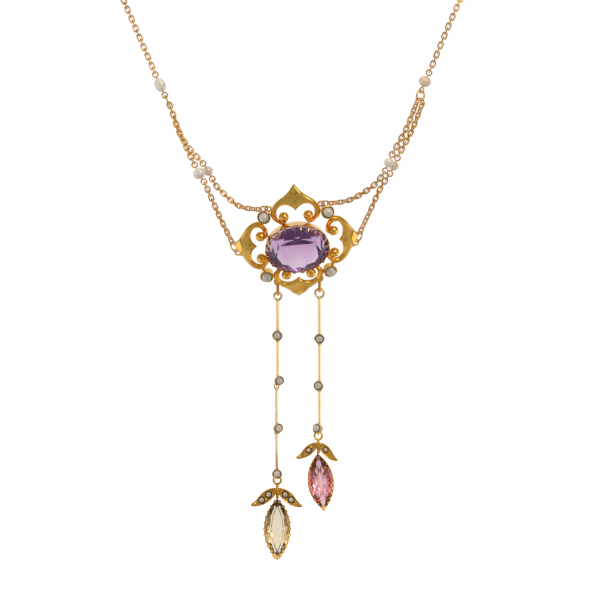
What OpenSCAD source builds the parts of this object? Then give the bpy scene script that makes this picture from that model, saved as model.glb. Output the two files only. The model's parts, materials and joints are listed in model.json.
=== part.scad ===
// Drop necklace: a pierced gold frame round an oval stone, two knife-edge drops that end in
// marquise stones, and festoons of trace chain with pearls between them.
// Millimetres. +Z is up, the front faces -Y, and the origin is the middle of the clasp at the nape.

/* [Trace chain] */
// Thickness of the wire that the links are bent from
chain_wire = 0.3; // [0.26:0.02:0.32]
// Outer length of a link
link_len = 1.75; // [1.74:0.01:1.8]
// Outer width of a link
link_w = 1.2; // [1.1:0.05:1.25]
// Largest distance between the middles of two links
link_pitch = 1.03; // [1.0:0.01:1.05]

/* [Neck loop] */
// How far the front hangs forward of the nape
front_reach = 95; // [93:0.5:97]
// Diameter of the barrel of the clasp
clasp_d = 3.2; // [2.6:0.2:4]
// Length of the barrel of the clasp
clasp_len = 9; // [8:0.5:10]

/* [Frame] */
// Radius of the dome that the frame is raised to
dome_r = 32; // [30:1:36]
// Thickness of the gold plate
plate = 0.7; // [0.6:0.05:0.8]
// How far the frame tips its face down as it hangs
frame_pitch = 27; // [25:1:29]
// How far the frame leans to one side as it hangs
frame_roll = 4.8; // [4:0.2:5.4]
// How far the frame turns to one side as it hangs
frame_yaw = 4; // [3:0.5:5]
// Outer radius of the pearl collets of the frame
corner_cup_r = 1.38; // [1.3:0.02:1.4]

/* [Oval stone] */
// Length of the oval stone
oval_len = 11.9; // [11.7:0.1:12.1]
// Height of the oval stone
oval_h = 10.4; // [10.2:0.1:10.6]
// Number of claws round the oval stone
oval_claws = 24; // [20:2:26]

/* [Drops] */
// Width of the knife-edge bars seen from the front
bar_w = 0.55; // [0.45:0.05:0.6]
// Depth of the knife-edge bars
bar_depth = 0.8; // [0.6:0.05:0.9]
// Outer radius of the pearl collets on the bars
bar_cup_r = 1.05; // [1.0:0.01:1.1]
// Thickness of the wire of the eyes and links of the drops
eye_wire = 0.4; // [0.36:0.02:0.42]

/* [Hidden] */
$fn = 32;

gold = [0.83, 0.62, 0.25];
pearl = [0.9, 0.87, 0.82];

// Vectors and curves
X = 0;
Y = 1;
Z = 2;
function unit(v) = v / norm(v);
function bezier3(p, t) =
    pow(1 - t, 3) * p[0] + 3 * t * pow(1 - t, 2) * p[1] + 3 * t * t * (1 - t) * p[2] + pow(t, 3) * p[3];
function catmull(p, i, t) =
    let (a = p[max(i - 1, 0)], b = p[i], c = p[i + 1], d = p[min(i + 2, len(p) - 1)])
    0.5 * (2 * b + (c - a) * t + (2 * a - 5 * b + 4 * c - d) * t * t
        + (3 * b - a - 3 * c + d) * pow(t, 3));
// Points along a spline through the places of a route
function spline(route, steps) =
    [for (i = [0:len(route) - 2], k = [0:(i == len(route) - 2 ? steps : steps - 1)])
        catmull(route, i, k / steps)];
// Running length at each point of a polyline
function lengths(p) = [for (i = 0, s = 0; i < len(p);
    s = s + norm(p[min(i + 1, len(p) - 1)] - p[i]), i = i + 1) s];
// The point at length s along a polyline whose running lengths are cum
function along(p, cum, s) =
    let (t = lookup(s, [for (i = [0:len(p) - 1]) [cum[i], i]]), i = min(floor(t), len(p) - 2))
    p[i] + (p[i + 1] - p[i]) * (t - i);
// Rotation matrix whose first column is dir, with the second and third turned by roll from
// the plane square to facing
function turned(at, dir, facing, roll) =
    let (e1 = unit(dir), n = unit(facing - (facing * e1) * e1), m = cross(n, e1),
        e3 = cos(roll) * n + sin(roll) * m, e2 = cross(e3, e1))
    [[e1[X], e2[X], e3[X], at[X]], [e1[Y], e2[Y], e3[Y], at[Y]], [e1[Z], e2[Z], e3[Z], at[Z]],
        [0, 0, 0, 1]];
front = [0, -1, 0];

// Wire rings and links
module ring(r, wire) {
    rotate_extrude() translate([r, 0]) circle(d = wire);
}
module link(length, width, wire) {
    r = (width - wire) / 2;
    run = length - width;
    for (end = [0, 180])
        rotate(end) translate([run / 2, 0, 0])
            rotate(-90) rotate_extrude(angle = 180) translate([r, 0]) circle(d = wire);
    for (side = [-1, 1])
        translate([-run / 2, side * r, 0]) rotate([0, 90, 0]) cylinder(d = wire, h = run);
}

// Gap between a link and the wire that it hooks over
hook_gap = 0.13;
// Distance from the middle of that wire to the middle of the link
first_link = (link_len - chain_wire) / 2 - chain_wire - hook_gap;
// Links at equal distances along a route between two ring wires, each a quarter turn from the
// one before and a little more or less, so that the first and last have the rolls given
module chain(route, first_roll, last_roll, reach = 1e9) {
    p = spline(route, 24);
    cum = lengths(p);
    run = cum[len(cum) - 1] - 2 * first_link;
    count = ceil(run / link_pitch) + 1;
    over = last_roll - first_roll - 90 * (count - 1);
    twist = (over - 180 * round(over / 180)) / (count - 1);
    for (i = [0:count - 1]) {
        s = first_link + i * run / (count - 1);
        if (s < reach)
            multmatrix(turned(along(p, cum, s), along(p, cum, s + 0.2) - along(p, cum, s - 0.2), front,
                first_roll + i * (90 + twist)))
                link(link_len, link_w, chain_wire);
    }
}
// A round bar between two places
module strut(a, b, d) {
    multmatrix(turned(a, b - a, front, 0)) rotate([0, 90, 0]) cylinder(d = d, h = norm(b - a));
}

// The frame as it hangs
frame_at = [0.35, -front_reach, -99.3];
module on_frame() {
    translate(frame_at) rotate([90 + frame_pitch, -frame_roll, frame_yaw]) children();
}
function frame_point(p) =
    let (y1 = -p[Z] * cos(frame_pitch) - p[Y] * sin(frame_pitch),
        z1 = -p[Z] * sin(frame_pitch) + p[Y] * cos(frame_pitch),
        x2 = p[X] * cos(frame_roll) - z1 * sin(frame_roll),
        z2 = p[X] * sin(frame_roll) + z1 * cos(frame_roll))
    frame_at + [x2 * cos(frame_yaw) - y1 * sin(frame_yaw), x2 * sin(frame_yaw) + y1 * cos(frame_yaw), z2];
// Stands its children on the dome at a place, square to its surface
module on_dome(u, v) {
    translate([0, 0, -dome_r]) rotate([0, asin(norm([u, v]) / dome_r), atan2(v, u)])
        translate([0, 0, dome_r]) children();
}

// A lobe of the frame, from its middle line: the outer edge runs from the tip over the
// shoulder, and the inner edge from the cusp round the eye of the scroll. The lobes at the
// sides are drawn out by s, all but the tip
tip_at = 12.6;
function lobe_outer(s) = [
    [[0, tip_at], [0.6, 11.9 + s / 2], [1.3, 11.0 + s], [2.4, 10.3 + s]],
    [[2.4, 10.3 + s], [3.7, 9.5 + s], [4.65, 8.75 + s], [4.95, 7.4 + s]],
    [[4.95, 7.4 + s], [5.25, 6.2 + s], [4.5, 5.2 + s], [3.1, 4.9 + s]]];
function lobe_inner(s) = [
    [[0, 7.5 + s], [0.45, 8.1 + s], [1.1, 8.65 + s], [2.1, 8.7 + s]],
    [[2.1, 8.7 + s], [3.3, 8.7 + s], [4.05, 7.9 + s], [4.0, 6.9 + s]],
    [[4.0, 6.9 + s], [4.0, 6.1 + s], [3.7, 5.6 + s], [3.1, 5.4 + s]]];
scroll_at = [2.45, 6.5];
scroll_r = 0.98;
side_shift = 0.6;
side_scroll_shift = 0.85;
edge_steps = 6;
function edge(curves) = [for (c = curves, k = [0:edge_steps - 1]) bezier3(c, k / edge_steps)];
function edge_end(curves) = curves[len(curves) - 1][3];
// A strip of plate that joins the end of the scroll to the collet of the oval stone
module scroll_stem(shift) {
    polygon([[1.95, scroll_at[Y] + shift], [1.75, 4.6], [3.1, 4.2], [3.7, 5.2 + shift],
        [2.95, scroll_at[Y] + shift]]);
}
module lobe_2d(shift) {
    outer = edge(lobe_outer(shift));
    inner = edge(lobe_inner(shift));
    half = concat(outer, [edge_end(lobe_outer(shift)), edge_end(lobe_inner(shift))],
        [for (i = [len(inner) - 1:-1:0]) inner[i]]);
    polygon(concat(half, [for (i = [len(half) - 2:-1:1]) [-half[i][X], half[i][Y]]]));
    for (side = [0, 1]) mirror([side, 0]) scroll_stem(shift);
}
// [angle of the lobe, how far out it and its scroll balls are shifted]
LOBE_ANGLE = 0;
LOBE_SHIFT = 1;
BALL_SHIFT = 2;
lobes = [[0, 0, 0], [90, side_shift, side_scroll_shift], [180, 0, 0],
    [270, side_shift, side_scroll_shift]];
module lobe_plates() {
    intersection() {
        for (lobe = lobes)
            rotate(lobe[LOBE_ANGLE]) translate([0, 0, -5]) linear_extrude(6) lobe_2d(lobe[LOBE_SHIFT]);
        translate([0, 0, -dome_r]) difference() {
            sphere(dome_r, $fn = 96);
            sphere(dome_r - plate, $fn = 96);
        }
    }
}
module scroll_ends() {
    for (lobe = lobes, side = [-1, 1]) {
        u = side * scroll_at[X];
        v = scroll_at[Y] + lobe[BALL_SHIFT];
        a = lobe[LOBE_ANGLE];
        on_dome(u * cos(a) - v * sin(a), u * sin(a) + v * cos(a)) sphere(scroll_r);
    }
}

// Round collets with a half pearl in each
cup_h = 1.5;
cup_wall = 0.24;
cup_seat = 0.5;
pearl_gap = 0.04;
module cup(r, height, seat) {
    difference() {
        cylinder(r1 = r - 0.18, r2 = r, h = height);
        translate([0, 0, height - seat]) cylinder(r = r - cup_wall, h = seat + 1);
    }
}
module half_pearl(r, seat) {
    intersection() {
        translate([0, 0, -seat * 0.4]) sphere(r - cup_wall - pearl_gap);
        translate([0, 0, -seat + pearl_gap]) cylinder(r = r, h = 2 * r);
    }
}
corner_at = [6.35, 6.55];
corner_foot_r = 1.6;
corner_signs = [[-1, 1], [1, 1], [-1, -1], [1, -1]];
module corner_cups() {
    for (s = corner_signs)
        on_dome(s[0] * corner_at[0], s[1] * corner_at[1]) {
            translate([0, 0, -cup_h + 0.55]) cup(corner_cup_r, cup_h, cup_seat);
            translate([0, 0, -plate]) cylinder(r = corner_foot_r, h = plate * 0.6);
        }
}
module frame_pearl(i) {
    s = corner_signs[i - 1];
    color(pearl) on_frame() on_dome(s[0] * corner_at[0], s[1] * corner_at[1])
        translate([0, 0, 0.55]) half_pearl(corner_cup_r, cup_seat);
}

// The collet of the oval stone: a flared wall with a ledge, cut into claws at its top
girdle_at = 1.45;
oval = [oval_len / 2, oval_h / 2];
collet_sides = 48;
// [distance from the girdle line, height from the girdle]
collet_section = [[0.15, -2.2], [0.38, 0.12], [0.13, 0.2], [0.12, -0.35], [-0.4, -0.8], [-0.35, -2.2]];
module oval_wall() {
    m = len(collet_section);
    points = [for (i = [0:collet_sides - 1], s = collet_section)
        [(oval[0] + s[0]) * cos(i * 360 / collet_sides), (oval[1] + s[0]) * sin(i * 360 / collet_sides),
            s[1]]];
    faces = [for (i = [0:collet_sides - 1], j = [0:m - 1], half = [0, 1])
        let (k = (i + 1) % collet_sides, l = (j + 1) % m)
        half == 0 ? [i * m + j, i * m + l, k * m + j] : [k * m + j, i * m + l, k * m + l]];
    polyhedron(points, faces);
}
claw_w = 0.5;
// Side view of a claw: [distance from the girdle line, height from the girdle]
claw_section = [[0.15, -1.3], [0.4, -1.0], [0.52, 0.1], [0.38, 0.52], [-0.1, 0.9], [-0.42, 1.0],
    [-0.4, 0.82], [0.0, 0.42], [0.13, 0.1]];
module claw(width, section) {
    translate([0, -width / 2, 0]) rotate([90, 0, 0]) mirror([0, 0, 1])
        linear_extrude(width) polygon(section);
}
module oval_claw_ring() {
    for (i = [0:oval_claws - 1]) {
        a = (i + 0.5) * 360 / oval_claws;
        translate([oval[0] * cos(a), oval[1] * sin(a), 0])
            rotate(atan2(oval[0] * sin(a), oval[1] * cos(a))) claw(claw_w, claw_section);
    }
}

// Rings at the back of the frame. Each stands on a short foot, and a drop or the jump ring of
// a festoon hangs in it
solder_r = 0.62;
solder_wire = 0.36;
foot_d = 0.5;
// [middle, foot on the plate], both on the frame
drop_rings = [[[-4.08, -9.34, -3.61], [-4.0, -8.5, -1.8]], [[4.37, -9.35, -3.63], [4.2, -8.5, -1.8]]];
drop_ring_at = [for (r = drop_rings) frame_point(r[0])];
module drop_loops() {
    for (r = drop_rings) {
        translate(frame_point(r[0])) rotate([90, 0, 0]) ring(solder_r, solder_wire);
        strut(frame_point(r[0]) + [0, 0, solder_r], frame_point(r[1]), foot_d);
    }
}
// [middle on the frame, direction of pull, turn of the ring about the pull, foot on the plate]
RING_AT = 0;
RING_PULL = 1;
RING_TURN = 2;
RING_FOOT = 3;
chain_rings = [
    [[-5.3, 7.26, -3.4], [-0.98, 0.25, -0.08], 40, [-4.5, 7.3, -1.7]],
    [[5.35, 7.34, -3.55], [0.98, 0.3, 0.03], -40, [4.5, 7.4, -1.7]],
    [[-11.85, -1.7, -3.1], [-0.5, 0.05, 0.86], 35, [-11.0, -1.9, -2.3]],
    [[11.95, -1.7, -3.1], [0.4, 0.05, 0.92], -35, [11.1, -1.9, -2.3]]];
function ring_centre(i) = frame_point(chain_rings[i][RING_AT]);
module chain_end_rings() {
    for (i = [0:3]) {
        pull = unit(chain_rings[i][RING_PULL]);
        multmatrix(turned(ring_centre(i), pull, front, chain_rings[i][RING_TURN]))
            ring(solder_r, solder_wire);
        strut(ring_centre(i) - pull * solder_r, frame_point(chain_rings[i][RING_FOOT]), foot_d);
    }
}

module frame() {
    color(gold) {
        on_frame() {
            lobe_plates();
            scroll_ends();
            corner_cups();
            translate([0, 0, girdle_at]) {
                oval_wall();
                oval_claw_ring();
            }
        }
        drop_loops();
        chain_end_rings();
    }
}

// Cut stones. Rings of corners: table, middle of the crown, girdle twice, middle of the
// pavilion and culet
// [share of the outline, height, corners per main facet, first corner in half steps]
function stone_rings(crown, girdle, pavilion, table, culet) = [
    [table, girdle / 2 + crown, 1, 0],
    [(1 + table) / 2 + 0.06, girdle / 2 + crown * 0.5, 1, 1],
    [1, girdle / 2, 2, 0],
    [1, -girdle / 2, 2, 0],
    [0.55, -girdle / 2 - pavilion * 0.55, 1, 1],
    [culet, -girdle / 2 - pavilion, 1, 0]];
function ring_corners(ring, mains, a, b, pointed) =
    [for (i = [0:mains * ring[2] - 1])
        let (q = outline(360 * (i + ring[3] / 2) / (mains * ring[2]), a, b, pointed))
        [q[0] * ring[0], q[1] * ring[0], ring[1]]];
// A point of an ellipse, or of a marquise, which is two arcs that meet at its tips
function outline(angle, a, b, pointed) = pointed
    ? let (r = (a * a + b * b) / (2 * b), h = asin(a / r), w = (angle % 360 + 360) % 360,
        side = w < 180 ? 1 : -1, f = 90 - (w % 180), g = f / 90 * h)
        [r * sin(g) * side, side * (r * cos(g) - (r - b))]
    : [a * cos(angle), b * sin(angle)];
module cut_stone(a, b, mains, rings, pointed) {
    points = [for (r = rings) each ring_corners(r, mains, a, b, pointed)];
    n = mains;
    table = 0;
    mid = n;
    top = 2 * n;
    low = 4 * n;
    pav = 6 * n;
    cul = 7 * n;
    faces = concat(
        [[for (i = [n - 1:-1:0]) table + i], [for (i = [0:n - 1]) cul + i]],
        [for (i = [0:n - 1]) let (j = (i + 1) % n, h = (i + n - 1) % n) each [
            [table + i, table + j, mid + i],
            [table + i, mid + i, top + 2 * i],
            [mid + h, table + i, top + 2 * i],
            [top + 2 * i, mid + i, top + 2 * i + 1],
            [mid + i, top + 2 * j, top + 2 * i + 1],
            [top + 2 * i, top + 2 * i + 1, low + 2 * i + 1],
            [top + 2 * i, low + 2 * i + 1, low + 2 * i],
            [top + 2 * i + 1, top + 2 * j, low + 2 * j],
            [top + 2 * i + 1, low + 2 * j, low + 2 * i + 1],
            [low + 2 * i, low + 2 * i + 1, pav + i],
            [low + 2 * i + 1, low + 2 * j, pav + i],
            [pav + i, cul + i, low + 2 * i],
            [cul + i, pav + h, low + 2 * i],
            [pav + i, cul + j, cul + i]]]);
    polyhedron(points, faces);
}
module amethyst() {
    color([0.45, 0.2, 0.6]) on_frame() translate([0, 0, girdle_at])
        cut_stone(oval[0] - 0.02, oval[1] - 0.02, 12, stone_rings(1.7, 0.3, 3.6, 0.66, 0.12), false);
}

// The drops. Heights are measured down from the ring of the frame that each hangs in
drop_link_len = 2.86;
drop_link_w = 1.52;
swing_at = [for (p = drop_ring_at) p - [0, 0, solder_r]];
link_top = (solder_wire + eye_wire) / 2 + 0.06;
link_middle = drop_link_len / 2 - eye_wire / 2 - link_top;
sway_down = drop_link_len - eye_wire - link_top;
function sway_at(side) = swing_at[side] - [0, 0, sway_down];
module drop_link(side) {
    color(gold) translate(swing_at[side] - [0, 0, link_middle]) rotate([0, 90, 0]) rotate(90)
        rotate(90) link(drop_link_len, drop_link_w, eye_wire);
}

// A small ring at the back of a collet, which the next eye hangs in
back_loop_r = 0.55;
back_loop_wire = 0.3;
back_loop_depth = 0.6;
module back_loop(drop, aside) {
    translate([aside, back_loop_depth, -drop]) rotate([0, 90, 0]) ring(back_loop_r, back_loop_wire);
}
module eye(r, wire) {
    rotate([90, 0, 0]) ring(r, wire);
}
// A knife-edge bar between two heights, flared where it is soldered at its lower end
module bar(top, bottom) {
    translate([0, 0, -bottom]) linear_extrude(bottom - top)
        polygon([[-bar_w / 2, 0], [-0.08, -bar_depth / 2], [0.08, -bar_depth / 2], [bar_w / 2, 0],
            [0.08, bar_depth / 2], [-0.08, bar_depth / 2]]);
    translate([0, 0.15, -top]) rotate([90, 0, 0])
        linear_extrude(0.3) polygon([[-0.55, 0.25], [0.55, 0.25], [0.15, -0.7], [-0.15, -0.7]]);
}
bar_cup_h = 1.0;
bar_cup_seat = 0.35;
module bar_cup(down, turn) {
    translate([0, 0, -down]) rotate(turn) rotate([90, 0, 0]) cup(bar_cup_r, bar_cup_h, bar_cup_seat);
}
module bar_pearl(down, turn) {
    color(pearl) translate([0, 0, -down]) rotate(turn) rotate([90, 0, 0])
        translate([0, 0, bar_cup_h]) half_pearl(bar_cup_r, bar_cup_seat);
}
// Collets of the bars: [height below the sway axis, turn about the bar]
DOWN = 0;
TURN = 1;
left_upper_cups = [[8.25, -5], [17.3, 22]];
left_lower_cups = [[26.85, 27], [36.05, 6]];
right_cups = [[9.6, -3], [19.0, -14], [27.55, -38]];
// How far aside of their bars the back loops stand
left_mid_aside = -0.25;
left_pendant_aside = 0.15;
right_pendant_aside = -0.25;
left_eye = 0.72;
right_eye = 0.84;
eye_drop = (eye_wire + eye_wire) / 2 + 0.06;
cup_reach = bar_cup_r - 0.15;
// How far below the middle of its collet a back loop lies
loop_below = 0.33;
right_loop_below = 0.63;
small_eye = [0.5, 0.3];
pendant_eye = [0.7, 0.36];
// Axes of the lower swings run through the top of each eye that hangs in a back loop. From the
// middle of the collet:
function back_swing(below, aside, eye) =
    [aside, back_loop_depth, (back_loop_wire + eye[1]) / 2 + 0.06 - below - back_loop_r];
module left_upper_bar() {
    color(gold) translate(sway_at(0)) {
        translate([0, 0, eye_drop - left_eye]) eye(left_eye, eye_wire);
        bar(2 * left_eye - eye_drop, left_upper_cups[0][DOWN] - cup_reach);
        bar(left_upper_cups[0][DOWN] + cup_reach, left_upper_cups[1][DOWN] - cup_reach);
        for (c = left_upper_cups) bar_cup(c[DOWN], c[TURN]);
        back_loop(left_upper_cups[1][DOWN] + loop_below, left_mid_aside);
    }
}
left_mid_swing = sway_at(0) - [0, 0, left_upper_cups[1][DOWN]]
    + back_swing(loop_below, left_mid_aside, small_eye);
left_mid_down = sway_at(0)[Z] - left_mid_swing[Z];
module left_lower_bar() {
    color(gold) translate(left_mid_swing) {
        translate([0, 0, -small_eye[0]]) eye(small_eye[0], small_eye[1]);
        bar(2 * small_eye[0], left_lower_cups[0][DOWN] - left_mid_down - cup_reach);
        bar(left_lower_cups[0][DOWN] - left_mid_down + cup_reach,
            left_lower_cups[1][DOWN] - left_mid_down - cup_reach);
        for (c = left_lower_cups) bar_cup(c[DOWN] - left_mid_down, c[TURN]);
        back_loop(left_lower_cups[1][DOWN] - left_mid_down + loop_below, left_pendant_aside);
    }
}
left_pendant_swing = left_mid_swing - [0, 0, left_lower_cups[1][DOWN] - left_mid_down]
    + back_swing(loop_below, left_pendant_aside, pendant_eye);
module right_bar() {
    color(gold) translate(sway_at(1)) {
        translate([0, 0, eye_drop - right_eye]) eye(right_eye, eye_wire);
        bar(2 * right_eye - eye_drop, right_cups[0][DOWN] - cup_reach);
        for (i = [0, 1])
            bar(right_cups[i][DOWN] + cup_reach, right_cups[i + 1][DOWN] - cup_reach);
        for (c = right_cups) bar_cup(c[DOWN], c[TURN]);
        back_loop(right_cups[2][DOWN] + right_loop_below, right_pendant_aside);
    }
}
right_pendant_swing = sway_at(1) - [0, 0, right_cups[2][DOWN]]
    + back_swing(right_loop_below, right_pendant_aside, pendant_eye);

// Leaves above the marquise stones, along their own axis from the stem to the tip
leaf_t = 0.7;
leaf_upper = [
    [[0, 0.3], [0.8, 0.95], [2.0, 1.3], [3.4, 0.98]],
    [[3.4, 0.98], [4.5, 0.6], [5.2, 0.2], [6.2, 0.12]]];
leaf_lower = [
    [[0, -0.3], [1.0, -0.85], [2.0, -1.25], [3.4, -1.2]],
    [[3.4, -1.2], [4.6, -1.05], [5.4, -0.6], [6.2, -0.12]]];
module leaf_2d() {
    lower = edge(leaf_lower);
    polygon(concat(edge(leaf_upper), [edge_end(leaf_upper), edge_end(leaf_lower)],
        [for (i = [len(lower) - 1:-1:0]) lower[i]]));
}
leaf_pearl_r = 0.52;
leaf_seat = 0.3;
// A pair of leaves: size of each, how far it droops, and where its pearls sit along it
LEAF_SIZE = 0;
LEAF_DROOP = 1;
LEAF_PEARLS = 2;
left_leaves = [[1.0, 33, [2.1, 3.85]], [0.98, 36, [2.0, 3.6]]];
right_leaves = [[0.86, 35, [2.5]], [0.84, 43, [2.35]]];
leaf_slope = -0.09;
module on_leaf(leaf, side) {
    mirror([side == 0 ? 1 : 0, 0, 0]) rotate([90, 0, 0]) rotate(-leaf[LEAF_DROOP])
        scale(leaf[LEAF_SIZE]) children();
}
module leaf(leaf, side) {
    on_leaf(leaf, side) difference() {
        translate([0, 0, -leaf_t / 2]) linear_extrude(leaf_t) leaf_2d();
        for (a = leaf[LEAF_PEARLS])
            translate([a, a * leaf_slope + 0.2, leaf_t / 2 - leaf_seat])
                cylinder(r = leaf_pearl_r + 0.04, h = 1);
    }
}
module leaf_pearl(leaf, side, k) {
    a = leaf[LEAF_PEARLS][k];
    color(pearl) on_leaf(leaf, side) intersection() {
        translate([a, a * leaf_slope + 0.2, leaf_t / 2 - 0.08]) sphere(leaf_pearl_r);
        translate([a, 0, leaf_t / 2 - leaf_seat + 0.04]) cylinder(r = 3, h = 2);
    }
}

// Marquise collets: a wall of two arcs that meet at the tips, with claws along it
wall_steps = 16;
function marquise(a, b) = [for (i = [0:2 * wall_steps - 1]) outline(180 * i / wall_steps, a, b, true)];
marquise_wall = 0.3;
marquise_h = 2.4;
module marquise_collet(a, b, claws, reach) {
    section = [[-0.1, -1.1], [0.35, -0.9], [reach, 0.1], [reach - 0.1, 0.4], [-0.1, 0.7], [-0.3, 0.75],
        [-0.28, 0.62], [0.02, 0.26], [0.1, 0.1], [0.1, -0.3]];
    r = (a * a + b * b) / (2 * b);
    spread = asin(a / r);
    translate([0, 0, -marquise_h]) linear_extrude(marquise_h + 0.05) difference() {
        polygon(marquise(a + 0.62, b + marquise_wall));
        polygon(marquise(a + 0.15, b + 0.07));
    }
    translate([0, 0, -marquise_h]) linear_extrude(marquise_h - 0.5) difference() {
        polygon(marquise(a + 0.3, b + 0.15));
        polygon(marquise(a - 0.7, b - 0.35));
    }
    for (i = [0:claws - 1], side = [0, 180]) {
        g = spread * ((i + 0.5) / claws * 2 - 1) * 0.97;
        rotate(side) translate([r * sin(g), r * cos(g) - (r - b), 0]) rotate(90 - g)
            claw(0.42, section);
    }
    for (end = [-1, 1]) translate([end * (a + 0.35), 0, -0.9]) cylinder(r = 0.32, h = 1.5, $fn = 16);
}
// Marquise stones: half length, half width, number of claws a side, reach of the claws
STONE_A = 0;
STONE_B = 1;
CLAWS = 2;
CLAW_REACH = 3;
STONE_LEAN = 4;
STONE_BELOW = 5;
STONE_ASIDE = 6;
LEAF_BELOW = 7;
citrine_size = [5.75, 2.4, 11, 0.52, 0, 10.5, 0, 2.3];
tourmaline_size = [5.35, 2.35, 12, 0.3, 6.4, 10.0, -0.1, 2.0];
stone_forward = 0.8;
module on_stone(size) {
    translate([size[STONE_ASIDE], -stone_forward, -size[STONE_BELOW]]) translate([0, 0, size[STONE_A]])
        rotate([0, -size[STONE_LEAN], 0]) translate([0, 0, -size[STONE_A]])
            rotate([90, 0, 0]) rotate(90) children();
}
module pendant_setting(leaves, size) {
    translate([0, 0, -pendant_eye[0]]) eye(pendant_eye[0], pendant_eye[1]);
    translate([0, 0, -size[LEAF_BELOW]]) for (side = [0, 1]) leaf(leaves[side], side);
    translate([0, 0, -(size[STONE_BELOW] - size[STONE_A] - 0.2)])
        cylinder(r = 0.24, h = size[STONE_BELOW] - size[STONE_A] - 0.2 - 2 * pendant_eye[0]);
    on_stone(size) marquise_collet(size[STONE_A], size[STONE_B], size[CLAWS], size[CLAW_REACH]);
}
module left_pendant_setting() {
    color(gold) translate(left_pendant_swing) pendant_setting(left_leaves, citrine_size);
}
module right_pendant_setting() {
    color(gold) translate(right_pendant_swing) pendant_setting(right_leaves, tourmaline_size);
}
module citrine() {
    color([0.95, 0.85, 0.7]) translate(left_pendant_swing) on_stone(citrine_size)
        cut_stone(citrine_size[STONE_A], citrine_size[STONE_B], 12,
            stone_rings(0.85, 0.2, 1.5, 0.62, 0.25), true);
}
module tourmaline() {
    color([0.85, 0.45, 0.6]) translate(right_pendant_swing) on_stone(tourmaline_size)
        cut_stone(tourmaline_size[STONE_A], tourmaline_size[STONE_B], 12,
            stone_rings(0.85, 0.2, 1.5, 0.5, 0.25), true);
}

// Pearl beads on wires with a ring at each end, which lies along the chain there
// [middle, direction of the hole, width, length, chain above, chain below, turn of lower ring]
BEAD_AT = 0;
BEAD_DIR = 1;
BEAD_W = 2;
BEAD_LEN = 3;
CHAIN_UP = 4;
CHAIN_DOWN = 5;
LOWER_TURN = 6;
bead_ring_r = 0.55;
bead_wire = 0.3;
bead_hole = 0.5;
depth = -front_reach;
left_upper_bead = [[-27.2, depth, -66.95], [0.42, 0, -0.91], 2.3, 2.9,
    [-0.36, 0, 0.93], [0.42, 0, -0.91], 0];
right_upper_bead = [[25.8, depth, -66.25], [-0.42, 0, -0.9], 2.6, 2.2,
    [0.45, 0, 0.9], [-0.18, 0, -0.98], -45];
left_outer_bead = [[-19.35, depth - 0.95, -84.65], [0.48, 0, -0.88], 2.7, 2.2,
    [-0.47, 0, 0.88], [0.49, 0, -0.87], 0];
left_inner_bead = [[-17.6, depth + 0.95, -84.15], [0.5, 0, -0.86], 2.1, 2.0,
    [-0.7, 0, 0.72], [0.4, 0, -0.92], 0];
right_outer_bead = [[19.6, depth + 1.0, -83.15], [-0.4, 0, -0.9], 2.0, 1.9,
    [0.4, 0, 0.9], [-0.6, 0, -0.8], 0];
right_inner_bead = [[18.55, depth - 1.0, -82.5], [-0.35, 0, -0.94], 2.0, 1.9,
    [0.5, 0, 0.87], [-0.45, 0, -0.9], 0];
// The middle of the ring above (-1) or below (1) a bead, and the ring's furthest wire
bead_run = 0.27;
function chain_way(b, end) = unit(b[end < 0 ? CHAIN_UP : CHAIN_DOWN]);
function bead_ring_at(b, end) = b[BEAD_AT] + end * unit(b[BEAD_DIR]) * (b[BEAD_LEN] / 2 + bead_run)
    + chain_way(b, end) * bead_ring_r;
function bead_hook(b, end) = bead_ring_at(b, end) + chain_way(b, end) * bead_ring_r;
bead_sides = 16;
module bead(b) {
    color(pearl) multmatrix(turned(b[BEAD_AT], b[BEAD_DIR], front, 0)) rotate([0, 90, 0])
        difference() {
            rotate_extrude() polygon([for (i = [0:bead_sides])
                [max(0, b[BEAD_W] / 2 * sin(i * 180 / bead_sides)),
                    b[BEAD_LEN] / 2 * cos(i * 180 / bead_sides)]]);
            cylinder(d = bead_hole, h = 2 * b[BEAD_LEN], center = true);
        }
}
module bead_wire(b) {
    run = b[BEAD_LEN] / 2 + bead_run;
    color(gold) {
        for (end = [-1, 1])
            multmatrix(turned(bead_ring_at(b, end), chain_way(b, end), front, end > 0 ? b[LOWER_TURN] : 0))
                ring(bead_ring_r, bead_wire);
        multmatrix(turned(b[BEAD_AT], b[BEAD_DIR], front, 0))
            translate([-run, 0, 0]) rotate([0, 90, 0]) cylinder(d = bead_wire, h = 2 * run);
    }
}

// Jump rings that carry two strands below each upper bead, with their turn about the chain
jump_r = 1.06;
jump_wire = 0.34;
strand_spread = 32;
near_run = 1.0;
strand_lean = 14;
left_jump_turn = 90;
right_jump_turn = 45;
function jump_centre(b) = bead_hook(b, 1)
    + chain_way(b, 1) * (jump_r - (bead_wire + jump_wire) / 2 - hook_gap);
// A direction in the plane of the jump ring, at an angle to the chain
function jump_way(b, turn, angle) =
    let (way = chain_way(b, 1), across = cos(turn) * cross(front, way) - sin(turn) * front)
    cos(angle) * way + sin(angle) * across;
module jump_ring(b, turn) {
    multmatrix(turned(jump_centre(b), chain_way(b, 1), front, turn)) ring(jump_r, jump_wire);
}
// A strand leaves the jump ring on one side of its middle and hangs by way of a place halfway
module strand(upper, lower, turn, side, aside) {
    a = jump_centre(upper) + jump_r * jump_way(upper, turn, side * strand_spread);
    near = a + near_run * jump_way(upper, turn, side * strand_lean);
    b = bead_hook(lower, -1);
    route = [a, near, (near + b) / 2 + aside, b];
    color(gold) chain(route, turn - 90, 90);
}

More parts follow.
